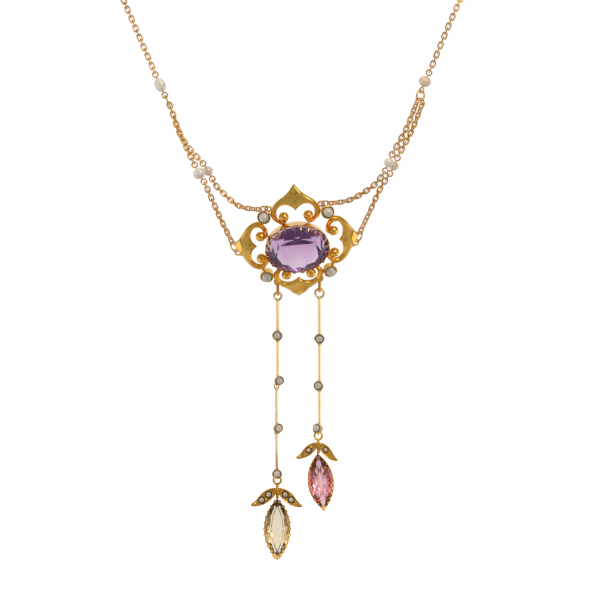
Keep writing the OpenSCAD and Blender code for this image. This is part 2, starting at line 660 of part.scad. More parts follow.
// Jump rings between the festoons and the frame
end_ring_r = [0.85, 0.85, 1.1, 1.1];
end_wire = 0.34;
function end_centre(i) = ring_centre(i) + unit(chain_rings[i][RING_PULL])
    * (solder_r + end_ring_r[i] - (solder_wire + end_wire) / 2 - hook_gap);
function end_hook(i) = end_centre(i) + unit(chain_rings[i][RING_PULL]) * end_ring_r[i];
module end_ring(i) {
    multmatrix(turned(end_centre(i), chain_rings[i][RING_PULL], front, chain_rings[i][RING_TURN] - 90))
        ring(end_ring_r[i], end_wire);
}
// A festoon hangs by way of two places, [x, z], between its bead and its jump ring
module festoon(lower, i, places) {
    a = bead_hook(lower, 1);
    b = end_hook(i);
    route = concat([a], [for (k = [0, 1])
        [places[k][0], a[Y] + (b[Y] - a[Y]) * (k + 1) / 3, places[k][1]]], [b]);
    color(gold) {
        chain(route, 90, chain_rings[i][RING_TURN]);
        end_ring(i);
    }
}

// The neck loop, one side. The other side is its mirror image from the second point on
neck_route = [[40, -86, -37], [47, -75, -26], [52, -60, -16.5], [54, -44, -9.5],
    [50, -28, -5], [40, -13.5, -2], [26, -4, -0.5], [14, -0.8, 0], [6.4, 0, 0]];
left_top = [-34.5, depth + 1.5, -50];
right_top = [32.85, depth + 1.5, -50];
function neck_side(b, top) =
    concat([bead_hook(b, -1), top], [for (p = neck_route) [sign(top[X]) * p[X], p[Y], p[Z]]]);
shown_len = 17.2;
chain_tube_d = 1.2;
tube_sides = 8;
tube_step = 3.6;
neck_middle = [0, -47, 0];
module front_chain(b, top) {
    color(gold) chain(neck_side(b, top), 90, 0, shown_len);
}
module neck_chain(b, top) {
    p = spline(neck_side(b, top), 24);
    cum = lengths(p);
    last = cum[len(cum) - 1] - 0.35;
    first = shown_len + 0.75;
    rings = ceil((last - first) / tube_step);
    points = [for (i = [0:rings])
        let (s = first + (last - first) * i / rings, at = along(p, cum, s),
            dir = unit(along(p, cum, s + 0.3) - along(p, cum, s - 0.3)),
            out = [at[X] - neck_middle[X], at[Y] - neck_middle[Y], 0],
            n = unit(out - (out * dir) * dir), m = cross(n, dir))
        for (k = [0:tube_sides - 1])
            at + chain_tube_d / 2 * (cos(k * 360 / tube_sides) * n + sin(k * 360 / tube_sides) * m)];
    faces = concat([[for (k = [tube_sides - 1:-1:0]) k]],
        [for (i = [0:rings - 1], k = [0:tube_sides - 1], half = [0, 1])
            let (l = (k + 1) % tube_sides, a = i * tube_sides, c = (i + 1) * tube_sides)
            half == 0 ? [a + k, a + l, c + k] : [a + l, c + l, c + k]],
        [[for (k = [0:tube_sides - 1]) rings * tube_sides + k]]);
    color(gold) polyhedron(points, faces);
}

// A plain barrel clasp, closed, with a ring at each end
module clasp() {
    end_r = 0.7;
    color(gold) {
        rotate([0, 90, 0]) cylinder(d = clasp_d, h = clasp_len, center = true);
        for (side = [-1, 1]) {
            translate([side * (clasp_len / 2 + 0.1), 0, 0]) rotate([0, 90, 0])
                cylinder(d = clasp_d * 0.6, h = 0.5, center = true);
            translate([side * (6.4 - end_r), 0, 0]) ring(end_r, 0.4);
        }
    }
}

module one(name) {
    children();
}
one("frame") frame();
one("amethyst") amethyst();
for (i = [1:4]) one(str("frame_pearl_", i)) frame_pearl(i);
one("left_link") drop_link(0);
one("left_upper_bar") left_upper_bar();
one("left_lower_bar") left_lower_bar();
one("left_pendant_setting") left_pendant_setting();
one("citrine") citrine();
for (i = [0, 1]) one(str("left_bar_pearl_", i + 1))
    translate(sway_at(0)) bar_pearl(left_upper_cups[i][DOWN], left_upper_cups[i][TURN]);
for (i = [0, 1]) one(str("left_bar_pearl_", i + 3))
    translate(left_mid_swing)
        bar_pearl(left_lower_cups[i][DOWN] - left_mid_down, left_lower_cups[i][TURN]);
for (side = [0, 1], k = [0, 1]) one(str("left_leaf_pearl_", 2 * side + k + 1))
    translate(left_pendant_swing - [0, 0, citrine_size[LEAF_BELOW]])
        leaf_pearl(left_leaves[side], side, k);
one("right_link") drop_link(1);
one("right_bar") right_bar();
one("right_pendant_setting") right_pendant_setting();
one("tourmaline") tourmaline();
for (i = [0:2]) one(str("right_bar_pearl_", i + 1))
    translate(sway_at(1)) bar_pearl(right_cups[i][DOWN], right_cups[i][TURN]);
for (side = [0, 1]) one(str("right_leaf_pearl_", side + 1))
    translate(right_pendant_swing - [0, 0, tourmaline_size[LEAF_BELOW]])
        leaf_pearl(right_leaves[side], side, 0);
one("left_inner_festoon") festoon(left_inner_bead, 0, [[-15.48, -87.68], [-11.50, -91.12]]);
one("right_inner_festoon") festoon(right_inner_bead, 1, [[15.30, -87.28], [10.90, -89.92]]);
one("left_outer_festoon") festoon(left_outer_bead, 2, [[-17.04, -89.40], [-15.00, -93.96]]);
one("right_outer_festoon") festoon(right_outer_bead, 3, [[16.72, -88.00], [15.06, -91.70]]);
one("left_outer_strand") {
    strand(left_upper_bead, left_outer_bead, left_jump_turn, -1, [-0.2, 0, -0.1]);
    color(gold) jump_ring(left_upper_bead, left_jump_turn);
}
one("left_inner_strand") strand(left_upper_bead, left_inner_bead, left_jump_turn, 1, [-0.85, 0, -0.5]);
one("right_outer_strand") {
    strand(right_upper_bead, right_outer_bead, right_jump_turn, 1, [0.3, 0, -0.1]);
    color(gold) jump_ring(right_upper_bead, right_jump_turn);
}
one("right_inner_strand") strand(right_upper_bead, right_inner_bead, right_jump_turn, -1, [0.3, 0, 0]);
one("left_upper_bead") bead(left_upper_bead);
one("left_inner_bead") bead(left_inner_bead);
one("left_outer_bead") bead(left_outer_bead);
one("right_upper_bead") bead(right_upper_bead);
one("right_inner_bead") bead(right_inner_bead);
one("right_outer_bead") bead(right_outer_bead);
one("left_upper_bead_wire") bead_wire(left_upper_bead);
one("left_inner_bead_wire") bead_wire(left_inner_bead);
one("left_outer_bead_wire") bead_wire(left_outer_bead);
one("right_upper_bead_wire") bead_wire(right_upper_bead);
one("right_inner_bead_wire") bead_wire(right_inner_bead);
one("right_outer_bead_wire") bead_wire(right_outer_bead);
one("left_front_chain") front_chain(left_upper_bead, left_top);
one("right_front_chain") front_chain(right_upper_bead, right_top);
one("left_neck_chain") neck_chain(left_upper_bead, left_top);
one("right_neck_chain") neck_chain(right_upper_bead, right_top);
one("clasp") clasp();
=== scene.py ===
"""Drop necklace of about 1900: the finish of its gold, pearls and stones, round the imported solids.

Sizes are in millimetres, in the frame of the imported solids, and MM turns them into metres.
"""

import json

import bpy
import numpy as np
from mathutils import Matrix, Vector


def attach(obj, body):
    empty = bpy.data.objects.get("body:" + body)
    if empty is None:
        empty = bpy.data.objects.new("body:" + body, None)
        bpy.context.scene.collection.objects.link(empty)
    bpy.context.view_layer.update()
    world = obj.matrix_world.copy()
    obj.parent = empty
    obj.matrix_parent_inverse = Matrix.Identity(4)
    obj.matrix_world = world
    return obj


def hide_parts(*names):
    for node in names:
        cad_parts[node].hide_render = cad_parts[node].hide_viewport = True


MM = 0.001
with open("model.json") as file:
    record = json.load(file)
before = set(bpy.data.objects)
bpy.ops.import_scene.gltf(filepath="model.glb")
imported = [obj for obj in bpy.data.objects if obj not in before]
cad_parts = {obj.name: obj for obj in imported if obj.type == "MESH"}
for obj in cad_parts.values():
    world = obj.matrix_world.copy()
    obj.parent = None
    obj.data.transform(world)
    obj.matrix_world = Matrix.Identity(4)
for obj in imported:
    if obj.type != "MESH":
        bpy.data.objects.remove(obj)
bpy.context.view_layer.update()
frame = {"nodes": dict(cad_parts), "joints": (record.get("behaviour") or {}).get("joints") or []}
hinges = {j["name"]: np.array(j["pos_m"]) / MM for j in frame["joints"]}

# Camera
# It stands level with the drops and far back with a long lens, so that the necklace is seen
# square from the front, as wide as in the photograph.
view_centre = np.array([0.8, -96.0, -110.0])
view_width = 120.0
lens = 600.0
sensor = 36.0
camera_data = bpy.data.cameras.new("camera")
camera_data.lens = lens
camera_data.sensor_width = sensor
camera_data.clip_start = 0.1
camera_data.clip_end = 50.0
camera = bpy.data.objects.new("camera", camera_data)
camera.location = (view_centre - [0, view_width * lens / sensor, 0]) * MM
camera.rotation_euler = (np.pi / 2, 0, 0)
bpy.context.scene.collection.objects.link(camera)
bpy.context.scene.camera = camera
bpy.context.scene.view_settings.view_transform = "Standard"

# Light
# A tent stands all round, dimmer toward the camera, so that polished gold has deep tones. White
# boards stand low at the sides; soft boxes light the pearls. The stones are lit from behind and
# from all sides, but less from below in front.
opening_way = (0.06, -0.99, 0.1)
# cosine of the angle to the opening, and the brightness there
tent = [(-1.0, 0.34), (0.0, 0.34), (0.6, 0.43), (0.86, 0.44), (1.0, 0.28)]
# middle, cosines where the glow begins and is full, brightness
glows = [((0.0, 0.92, 0.39), 0.58, 0.86, 0.67), ((-0.82, -0.06, -0.57), 0.78, 0.95, 0.75),
         ((0.92, 0.12, -0.38), 0.82, 0.97, 1.0), ((0.0, -0.2, -0.98), 0.86, 0.98, 0.27),
         ((0.0, 0.5, -0.87), 0.86, 0.98, 0.4), ((0.62, -0.39, -0.69), 0.88, 0.98, 0.12),
         ((-0.97, 0.25, 0.0), 0.9, 0.98, 0.5), ((0.97, 0.25, 0.0), 0.9, 0.98, 0.35)]
# the same for the light that has passed through a stone, over an even brightness
stone_light = 0.84
stone_glows = [((0.0, 0.92, 0.39), 0.58, 0.86, 0.16), ((0.0, -0.55, -0.83), 0.6, 0.92, -0.6)]
lamp_target = np.array([0.0, -95.0, -105.0])
world = bpy.data.worlds.new("tent")
bpy.context.scene.world = world
world.use_nodes = True
sky = world.node_tree
sky.nodes.clear()


def feed(made, inputs):
    """Gives inputs of a node their values; an output given as a value is linked to the input."""
    for key, value in inputs.items():
        if isinstance(value, bpy.types.NodeSocket):
            made.id_data.links.new(value, made.inputs[key])
        else:
            made.inputs[key].default_value = value


def add(tree, kind, inputs={}, **settings):
    """A new node of a tree. Its settings come first, since its inputs depend on them."""
    made = tree.nodes.new("ShaderNode" + kind)
    for title, value in settings.items():
        setattr(made, title, value)
    feed(made, inputs)
    return made


def mapped(tree, value, low, high, to_low=0.0, to_high=1.0, **settings):
    """A value, with the range from low to high spread over another one."""
    return add(tree, "MapRange", {"Value": value, "From Min": low, "From Max": high,
                                  "To Min": to_low, "To Max": to_high}, **settings).outputs["Result"]


def mixed(tree, share, a, b):
    """A colour between two, by a share."""
    return add(tree, "Mix", {"Factor": share, "A": a, "B": b}, data_type="RGBA").outputs["Result"]


def cosine_to(direction):
    """The cosine of the angle between a look and a direction."""
    way = add(sky, "TexCoord").outputs["Generated"]
    return add(sky, "VectorMath", {0: way, 1: direction}, operation="DOT_PRODUCT").outputs["Value"]


def with_glows(bright, glows):
    """The brightness with round patches added to it, each fading out at its edge."""
    for direction, start, full, white in glows:
        glow = mapped(sky, cosine_to(direction), start, full, 0.0, white,
                      interpolation_type="SMOOTHSTEP")
        bright = add(sky, "Math", {0: bright, 1: glow}).outputs["Value"]
    return bright


cloth = add(sky, "ValToRGB", {"Fac": mapped(sky, cosine_to(opening_way), -1.0, 1.0)})
stops = cloth.color_ramp.elements
while len(stops) < len(tent):
    stops.new(0.5)
for stop, (cosine, white) in zip(stops, tent):
    stop.position = (cosine + 1) / 2
    stop.color = (white, white, white, 1)
sight = add(sky, "LightPath").outputs
lit = add(sky, "Mix", {"Factor": sight["Is Transmission Ray"],
                       "A": with_glows(cloth.outputs["Color"], glows),
                       "B": with_glows(stone_light, stone_glows)})
seen = mixed(sky, sight["Is Camera Ray"], lit.outputs["Result"], (1, 1, 1, 1))
shine = add(sky, "Background", {"Color": seen})
add(sky, "OutputWorld", {"Surface": shine.outputs["Background"]})


def soft_box(name, place, size, power, mirrored):
    """A square lamp at a place, turned to the frame of the necklace. One that isn't mirrored
    gives light but no highlight."""
    lamp = bpy.data.lights.new(name, "AREA")
    lamp.shape = "SQUARE"
    lamp.size = size * MM
    lamp.energy = power
    box = bpy.data.objects.new(name, lamp)
    box.location = np.array(place, float) * MM
    toward = (lamp_target - place) * MM
    box.rotation_euler = Vector(toward).to_track_quat("-Z", "Y").to_euler()
    box.visible_glossy = mirrored
    bpy.context.scene.collection.objects.link(box)


soft_box("box_right", (300, -600, 220), 380, 1.4, True)
soft_box("box_left", (-560, -420, 60), 260, 1.0, False)
soft_box("box_top", (-60, -260, 520), 320, 1.2, False)

# Floor
# A wide sheet of matt white board below the necklace, open to looks from beneath.
floor_low = -200.0
floor_half = 20000.0
corners = np.array([[-1, -1], [1, -1], [1, 1], [-1, 1]]) * floor_half
board = bpy.data.meshes.new("floor")
board.from_pydata([(x * MM, y * MM, floor_low * MM) for x, y in corners], [], [(0, 1, 2, 3)])
floor = bpy.data.objects.new("floor", board)
bpy.context.scene.collection.objects.link(floor)
floor.visible_glossy = False
floor.visible_diffuse = False
floor.visible_transmission = False
paper = bpy.data.materials.new("white_board")
paper.use_nodes = True
tree = paper.node_tree
grain = add(tree, "TexNoise", {"Scale": 900})
tooth = add(tree, "Bump", {"Strength": 0.05, "Height": grain.outputs["Fac"]})
matt = tree.nodes["Principled BSDF"]
feed(matt, {"Base Color": (0.8, 0.8, 0.8, 1), "Roughness": 0.9, "Specular IOR Level": 0.1,
            "Emission Color": (1, 1, 1, 1), "Emission Strength": 1.0,
            "Normal": tooth.outputs["Normal"]})
under = add(tree, "NewGeometry").outputs["Backfacing"]
clear = add(tree, "BsdfTransparent").outputs["BSDF"]
sides = add(tree, "MixShader", {"Fac": under, 1: matt.outputs["BSDF"], 2: clear})
feed(tree.nodes["Material Output"], {"Surface": sides.outputs["Shader"]})
board.materials.append(paper)

# Chain of the neck
# Trace chain of round 15 carat gold wire: oval links, each a quarter turn from the one before.
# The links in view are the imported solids; these go on from them, round the neck to the clasp.
chain_wire = 0.3
link_len = 1.75
link_w = 1.2
link_pitch = 1.03
hook_gap = 0.13
first_link = (link_len - chain_wire) / 2 - chain_wire - hook_gap
shown_links = 17
neck_route = np.array(
    [[40, -86, -37], [47, -75, -26], [52, -60, -16.5], [54, -44, -9.5], [50, -28, -5],
     [40, -13.5, -2], [26, -4, -0.5], [14, -0.8, 0], [6.4, 0, 0]], float)
left_neck_start = [[-28.3179, -95, -64.3625], [-34.5, -93.5, -50]]
right_neck_start = [[26.8713, -95, -64.0247], [32.85, -93.5, -50]]
FRONT = np.array([0.0, -1.0, 0.0])
# how much redder gold is painted where other gold would light it: a painted reflection
REFLECTED_TINT = (0.98, 0.74, 0.36)


def unit(v):
    """Vectors of length one."""
    v = np.asarray(v, float)
    return v / np.linalg.norm(v, axis=-1, keepdims=True)


def outward(part):
    """The part with its faces turned round if the volume that they enclose is negative."""
    points, faces, *painted_marks = part
    volume = 0.0
    for f in faces:
        a = points[f[:, 0]]
        for k in range(1, f.shape[1] - 1):
            volume += np.einsum("ij,ij->", a, np.cross(points[f[:, k]], points[f[:, k + 1]]))
    return (points, faces if volume > 0 else [f[:, ::-1] for f in faces], *painted_marks)


def sweep(rings, round_way=False):
    """A skin over rings of points (ring, corner, xyz). Open ends are closed with one face each,
    which winds against the faces of the side."""
    n, m = rings.shape[:2]
    i, j = np.meshgrid(np.arange(n if round_way else n - 1), np.arange(m), indexing="ij")
    k, l = (i + 1) % n, (j + 1) % m
    faces = [np.stack([i * m + j, k * m + j, k * m + l, i * m + l], -1).reshape(-1, 4)]
    if not round_way:
        faces.append(np.arange(m)[None, ::-1])
        faces.append((n - 1) * m + np.arange(m)[None])
    return outward((rings.reshape(-1, 3), faces))


def angles(count):
    """Equal steps of angle, all the way round."""
    return np.arange(count) * 2 * np.pi / count


def wire(path, radius, flat_way, sides=10, round_way=False):
    """A round wire: at each point of the path, a circle of that radius square to the path.
    flat_way is square to the path all along it."""
    path = np.asarray(path, float)
    if round_way:
        tangent = unit(np.roll(path, -1, 0) - np.roll(path, 1, 0))
    else:
        tangent = unit(np.gradient(path, axis=0))
    n = unit(np.broadcast_to(flat_way, path.shape))
    m = unit(np.cross(tangent, n))
    n = np.cross(m, tangent)
    a = angles(sides)
    r = np.broadcast_to(radius, len(path))[:, None, None]
    ring = np.cos(a)[:, None] * n[:, None] + np.sin(a)[:, None] * m[:, None]
    return sweep(path[:, None] + r * ring, round_way)


def placed(part, matrices):
    """Copies of a part, one for each 3 x 4 matrix."""
    points, faces = part
    many = np.einsum("kij,nj->kni", matrices[:, :, :3], points) + matrices[:, None, :, 3]
    shift = (np.arange(len(matrices)) * len(points))[:, None, None]
    return many.reshape(-1, 3), [(f + shift).reshape(-1, f.shape[1]) for f in faces]


def piece(name, parts, finish, stands_for=(), body="necklace", sharp=38):
    """One object of the parts given, in metres, smooth but for edges sharper than an angle. A part may
    have a third and a fourth item, from 0 to 1 at its points: the painted darkening (painted shade and
    painted dark reflections), and the painted reflection of other gold that makes gold redder."""
    points, loops, totals, painted_marks, base = [], [], [], [], 0
    for p, faces, *given in parts:
        points.append(p)
        painted_marks.append(np.array((given + [np.zeros(len(p))] * 2)[:2]))
        for f in faces:
            loops.append((f + base).ravel())
            totals.append(np.full(len(f), f.shape[1]))
        base += len(p)
    points, loops, totals = (np.concatenate(x) for x in (points, loops, totals))
    mesh = bpy.data.meshes.new(name)
    mesh.vertices.add(len(points))
    mesh.vertices.foreach_set("co", (points * MM).astype(np.float32).ravel())
    mesh.loops.add(len(loops))
    mesh.loops.foreach_set("vertex_index", loops.astype(np.int32))
    mesh.polygons.add(len(totals))
    starts = np.concatenate([[0], np.cumsum(totals)[:-1]])
    mesh.polygons.foreach_set("loop_start", starts.astype(np.int32))
    mesh.polygons.foreach_set("use_smooth", np.full(len(totals), sharp > 0))
    mesh.update(calc_edges=True)
    mesh.validate()
    for title, values in zip(("painted_darkening", "painted_gold_reflection"), np.concatenate(painted_marks, 1)):
        layer = mesh.attributes.new(title, "FLOAT", "POINT")
        layer.data.foreach_set("value", values.astype(np.float32))
    if sharp > 0:
        mesh.set_sharp_from_angle(angle=np.radians(sharp))
    mesh.materials.append(finish)
    made = bpy.data.objects.new(name, mesh)
    bpy.context.scene.collection.objects.link(made)
    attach(made, body)
    if stands_for:
        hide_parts(*stands_for)
    return made


def spline(route, steps=24):
    """Points along a Catmull-Rom curve through the places of a route."""
    p = np.asarray(route, float)
    p = np.vstack([p[:1], p, p[-1:]])
    t = (np.arange(steps) / steps)[None, :, None]
    a, b, c, d = (p[k:len(p) - 3 + k, None] for k in range(4))
    curve = 0.5 * (2 * b + (c - a) * t + (2 * a - 5 * b + 4 * c - d) * t**2
                   + (3 * b - a - 3 * c + d) * t**3)
    return np.vstack([curve.reshape(-1, p.shape[1]), p[-2:-1]])


def noise(tree, scale, detail=2.0):
    """Noise over the object, finer for a greater scale."""
    where = add(tree, "TexCoord").outputs["Object"]
    return add(tree, "TexNoise", {"Vector": where, "Scale": scale, "Detail": detail}).outputs["Fac"]


def multiply_add(tree, value, factor, more):
    """The value times a factor, plus more."""
    return add(tree, "Math", {0: value, 1: factor, 2: more}, operation="MULTIPLY_ADD").outputs["Value"]


def surface_group(name, tones, number):
    """A node group that makes colour, roughness and height of some tones and a number, with
    the sockets given to it, its end, and the attribute grime."""
    group = bpy.data.node_groups.new(name, "ShaderNodeTree")
    sockets = [(title, "INPUT", "Color") for title in tones] + [
        (number, "INPUT", "Float"), ("Colour", "OUTPUT", "Color"),
        ("Roughness", "OUTPUT", "Float"), ("Height", "OUTPUT", "Float")]
    for title, way, kind in sockets:
        group.interface.new_socket(name=title, in_out=way, socket_type="NodeSocket" + kind)
    given, end = group.nodes.new("NodeGroupInput").outputs, group.nodes.new("NodeGroupOutput")
    return group, given, end, add(group, "Attribute", attribute_name="painted_darkening").outputs["Fac"]


# Old gold: the colour drifts from yellow to a redder tone, polish is broken by fine wear, and hand
# work leaves slight waves in the surface. One point attribute paints hollows, creases and a few spots
# darker and rougher: painted shade and painted dark reflections. Another paints gold that faces other
# gold redder: a painted reflection of its light.
gold, given, end, painted_darkening = surface_group("worn_gold", ("Bright", "Deep", "PaintedReflection"), "Polish")
painted_gold_reflection = add(gold, "Attribute", attribute_name="painted_gold_reflection").outputs["Fac"]
drift = mapped(gold, noise(gold, 260, 3), 0.4, 0.72)
tone = mixed(gold, painted_gold_reflection, mixed(gold, drift, given["Bright"], given["Deep"]), given["PaintedReflection"])
rub = noise(gold, 2600, 4)
worn = mapped(gold, rub, 0.3, 0.75, -0.05, 0.13)
polish = add(gold, "Math", {0: worn, 1: given["Polish"]}).outputs["Value"]
# painted darkening: where shade is painted the colour goes to brown and the surface rougher
feed(end, {"Colour": mixed(gold, painted_darkening, tone, (0.26, 0.16, 0.06, 1)),
           "Roughness": multiply_add(gold, painted_darkening, 0.3, polish),
           "Height": multiply_add(gold, rub, 0.12, noise(gold, 700))})


def finish_of(name, group, values, bump, inputs):
    """A material whose colour, roughness and height come from a node group. Three values make
    a colour; bump is the depth of the waves in millimetres."""
    finish = bpy.data.materials.new(name)
    finish.use_nodes = True
    tree = finish.node_tree
    values = {title: (*v, 1) if np.ndim(v) else v for title, v in values.items()}
    surface = add(tree, "Group", values, node_tree=group).outputs
    uneven = add(tree, "Bump", {"Distance": bump * MM, "Height": surface["Height"]})
    feed(tree.nodes["Principled BSDF"], {
        "Base Color": surface["Colour"], "Roughness": surface["Roughness"],
        "Normal": uneven.outputs["Normal"], **inputs})
    return finish


def gold_finish(name, bright, deep, polish, bump):
    """A gold of the two tones given."""
    values = {"Bright": bright, "Deep": deep, "PaintedReflection": np.multiply(bright, REFLECTED_TINT), "Polish": polish}
    return finish_of(name, gold, values, bump, {"Metallic": 1.0})


chain_gold = gold_finish("chain_gold", (0.83, 0.47, 0.12), (0.69, 0.34, 0.065), 0.2, 0.03)


def bent_link(length, width, thick, turns, sides):
    """A link in plane XY: wire along a path of two straight runs joined by half circles."""
    r, run = (width - thick) / 2, (length - width) / 2
    a = np.linspace(-np.pi / 2, np.pi / 2, turns)
    half = np.stack([run + r * np.cos(a), r * np.sin(a), 0 * a], 1)
    return wire(np.vstack([half, half * [-1, -1, 1]]), thick / 2, [0, 0, 1], sides, True)


def running(path):
    """The length of a path up to each of its points."""
    return np.concatenate([[0], np.cumsum(np.linalg.norm(np.diff(path, axis=0), axis=1))])


def rest(angle):
    """What an angle in degrees has over the nearest half turn."""
    return angle - 180 * np.round(angle / 180)


def square_to(way, v):
    """The direction square to a way that lies nearest to v."""
    return unit(v - (v @ way) * way)


def neck_links(start):
    """Matrices of the links from the last packed one to the clasp. They are set at equal
    distances; their roll is carried along the route and then shared out, so that the last
    link stands square to the ring of the clasp."""
    side = np.sign(start[1][0])
    p = spline(np.vstack([start, neck_route * [side, 1, 1]]))
    cum = running(p)
    run = cum[-1] - 2 * first_link
    count = int(np.ceil(run / link_pitch)) + 1
    s = first_link + np.arange(shown_links - 1, count) * run / (count - 1)
    at, ahead, back = (np.stack([np.interp(x, cum, p[:, k]) for k in range(3)], 1)
                       for x in (s, s + 0.2, s - 0.2))
    way = unit(ahead - back)
    flat = [square_to(way[0], FRONT)]
    for w in way[1:]:
        flat.append(square_to(w, flat[-1]))
    flat = np.array(flat)
    across = np.cross(flat, way)
    steps = len(s) - 1
    first_roll = 90 + (shown_links - 1) * (90 + rest(-90.0 * count) / (count - 1))
    last_roll = np.degrees(np.arctan2(across[-1, 2], flat[-1, 2])) + 90
    step = 90 + rest(last_roll - first_roll - 90 * steps) / steps
    turn = np.radians(first_roll + np.arange(steps + 1) * step)[:, None]
    e3 = np.cos(turn) * flat + np.sin(turn) * across
    return np.stack([way, np.cross(e3, way), e3, at], -1)[1:]


plain_link = bent_link(link_len, link_w, chain_wire, 5, 6)
for side, start in (("left", left_neck_start), ("right", right_neck_start)):
    piece(f"{side}_neck_links", [placed(plain_link, neck_links(start))], chain_gold,
          [f"{side}_neck_chain"])

# Frame
# The four lobes are pierced and cut from gold plate, raised to a shallow dome and filed to
# half-round arms. At each tip a spear-shaped facet rises to a crease across the lobe, and a
# small facet lies at the cusp inside. The arms curl to the round scroll ends.
dome_r = 32.0
pitch, roll, yaw = np.radians([27.0, 4.8, 4.0])
frame_at = np.array([0.35, -95.0, -99.3])
scroll_at = np.array([2.45, 6.5])
scroll_r = 1.0
# lobes at the top, left, bottom and right: how far the edges, the cusp, the arms' ends and the scroll
# ends lie further out than the shape below, the tip, the share of the width, on which side of the
# crease a line of painted shade lies, and how strong the spear facet is
lobes = [(0.05, 0.0, 0.0, 0.0, 12.75, 1.01, 0, 0.55), (0.65, 0.62, 0.35, 0.8, 12.85, 1.08, 1, 1.0),
         (0.1, 0.05, 0.0, 0.0, 12.9, 1.02, 0, 0.9), (0.75, 1.1, 0.35, 0.85, 12.95, 1.08, -1, 1.0)]
# small dark spots painted on the lobes, painted dark reflections: lobe, place, radius, how dark
painted_dark_spots = [(0, 0.0, 9.42, 0.17, 0.9), (1, 0.5, 9.45, 0.3, 0.8), (1, -0.4, 9.2, 0.45, 0.4),
        (3, -0.1, 9.6, 0.45, 0.5)]
# columns of points over the front of an arm, and the places of those down its back
front_columns = 61
back_share = [0.97, 0.75, 0.5, 0.25, 0.03]
arm_crest = 0.12
edge_low = -0.5
edge_round = 0.6
back_low = -0.66
crease_at = 10.55
crease_bow = 0.34
spear_rise = 0.16
spear_slope = 0.3
body_slope = 0.55
cusp_slope = 0.5
frame_gold = gold_finish("frame_gold", (0.9, 0.56, 0.125), (0.81, 0.45, 0.075), 0.17, 0.03)


def about(axis, angle):
    """Rotation matrix about x, y or z (0, 1, 2) by an angle in radians."""
    c, s = np.cos(angle), np.sin(angle)
    i, j = (axis + 1) % 3, (axis + 2) % 3
    m = np.eye(3)
    m[i, i] = m[j, j] = c
    m[i, j], m[j, i] = -s, s
    return m


frame_turn = about(2, yaw) @ about(1, -roll) @ about(0, np.pi / 2 + pitch)


def frame_point(p):
    """Where a place on the frame hangs."""
    return np.asarray(p, float) @ frame_turn.T + frame_at


def on_frame(part):
    """The part where the frame hangs."""
    return frame_point(part[0]), *part[1:]


def dome_point(u, v, height):
    """Points over the dome: (u, v) seen square from the front, height along its radius."""
    up = np.stack([u, v, np.sqrt(dome_r**2 - u**2 - v**2)], -1) / dome_r
    return (dome_r + np.asarray(height)[..., None]) * up - [0, 0, dome_r]


def on_dome(part, u, v):
    """The part stood on the dome at (u, v), square to its surface."""
    lean = about(2, np.arctan2(v, u)) @ about(1, np.arcsin(np.hypot(u, v) / dome_r))
    return (part[0] + [0, 0, dome_r]) @ lean.T - [0, 0, dome_r], *part[1:]


def bezier(points, t):
    """Points of a chain of cubic curves, each of three points after the end of the one before;
    t goes from 0 to 1 over the whole of it."""
    points = np.asarray(points, float)
    count = len(points) // 3
    x = np.clip(np.asarray(t) * count, 0, count - 1e-9)
    first, f = 3 * x.astype(int), (x % 1)[:, None]
    a, b, c, d = (points[first + k] for k in range(4))
    return (1 - f)**3 * a + 3 * f * (1 - f)**2 * b + 3 * f**2 * (1 - f) * c + f**3 * d


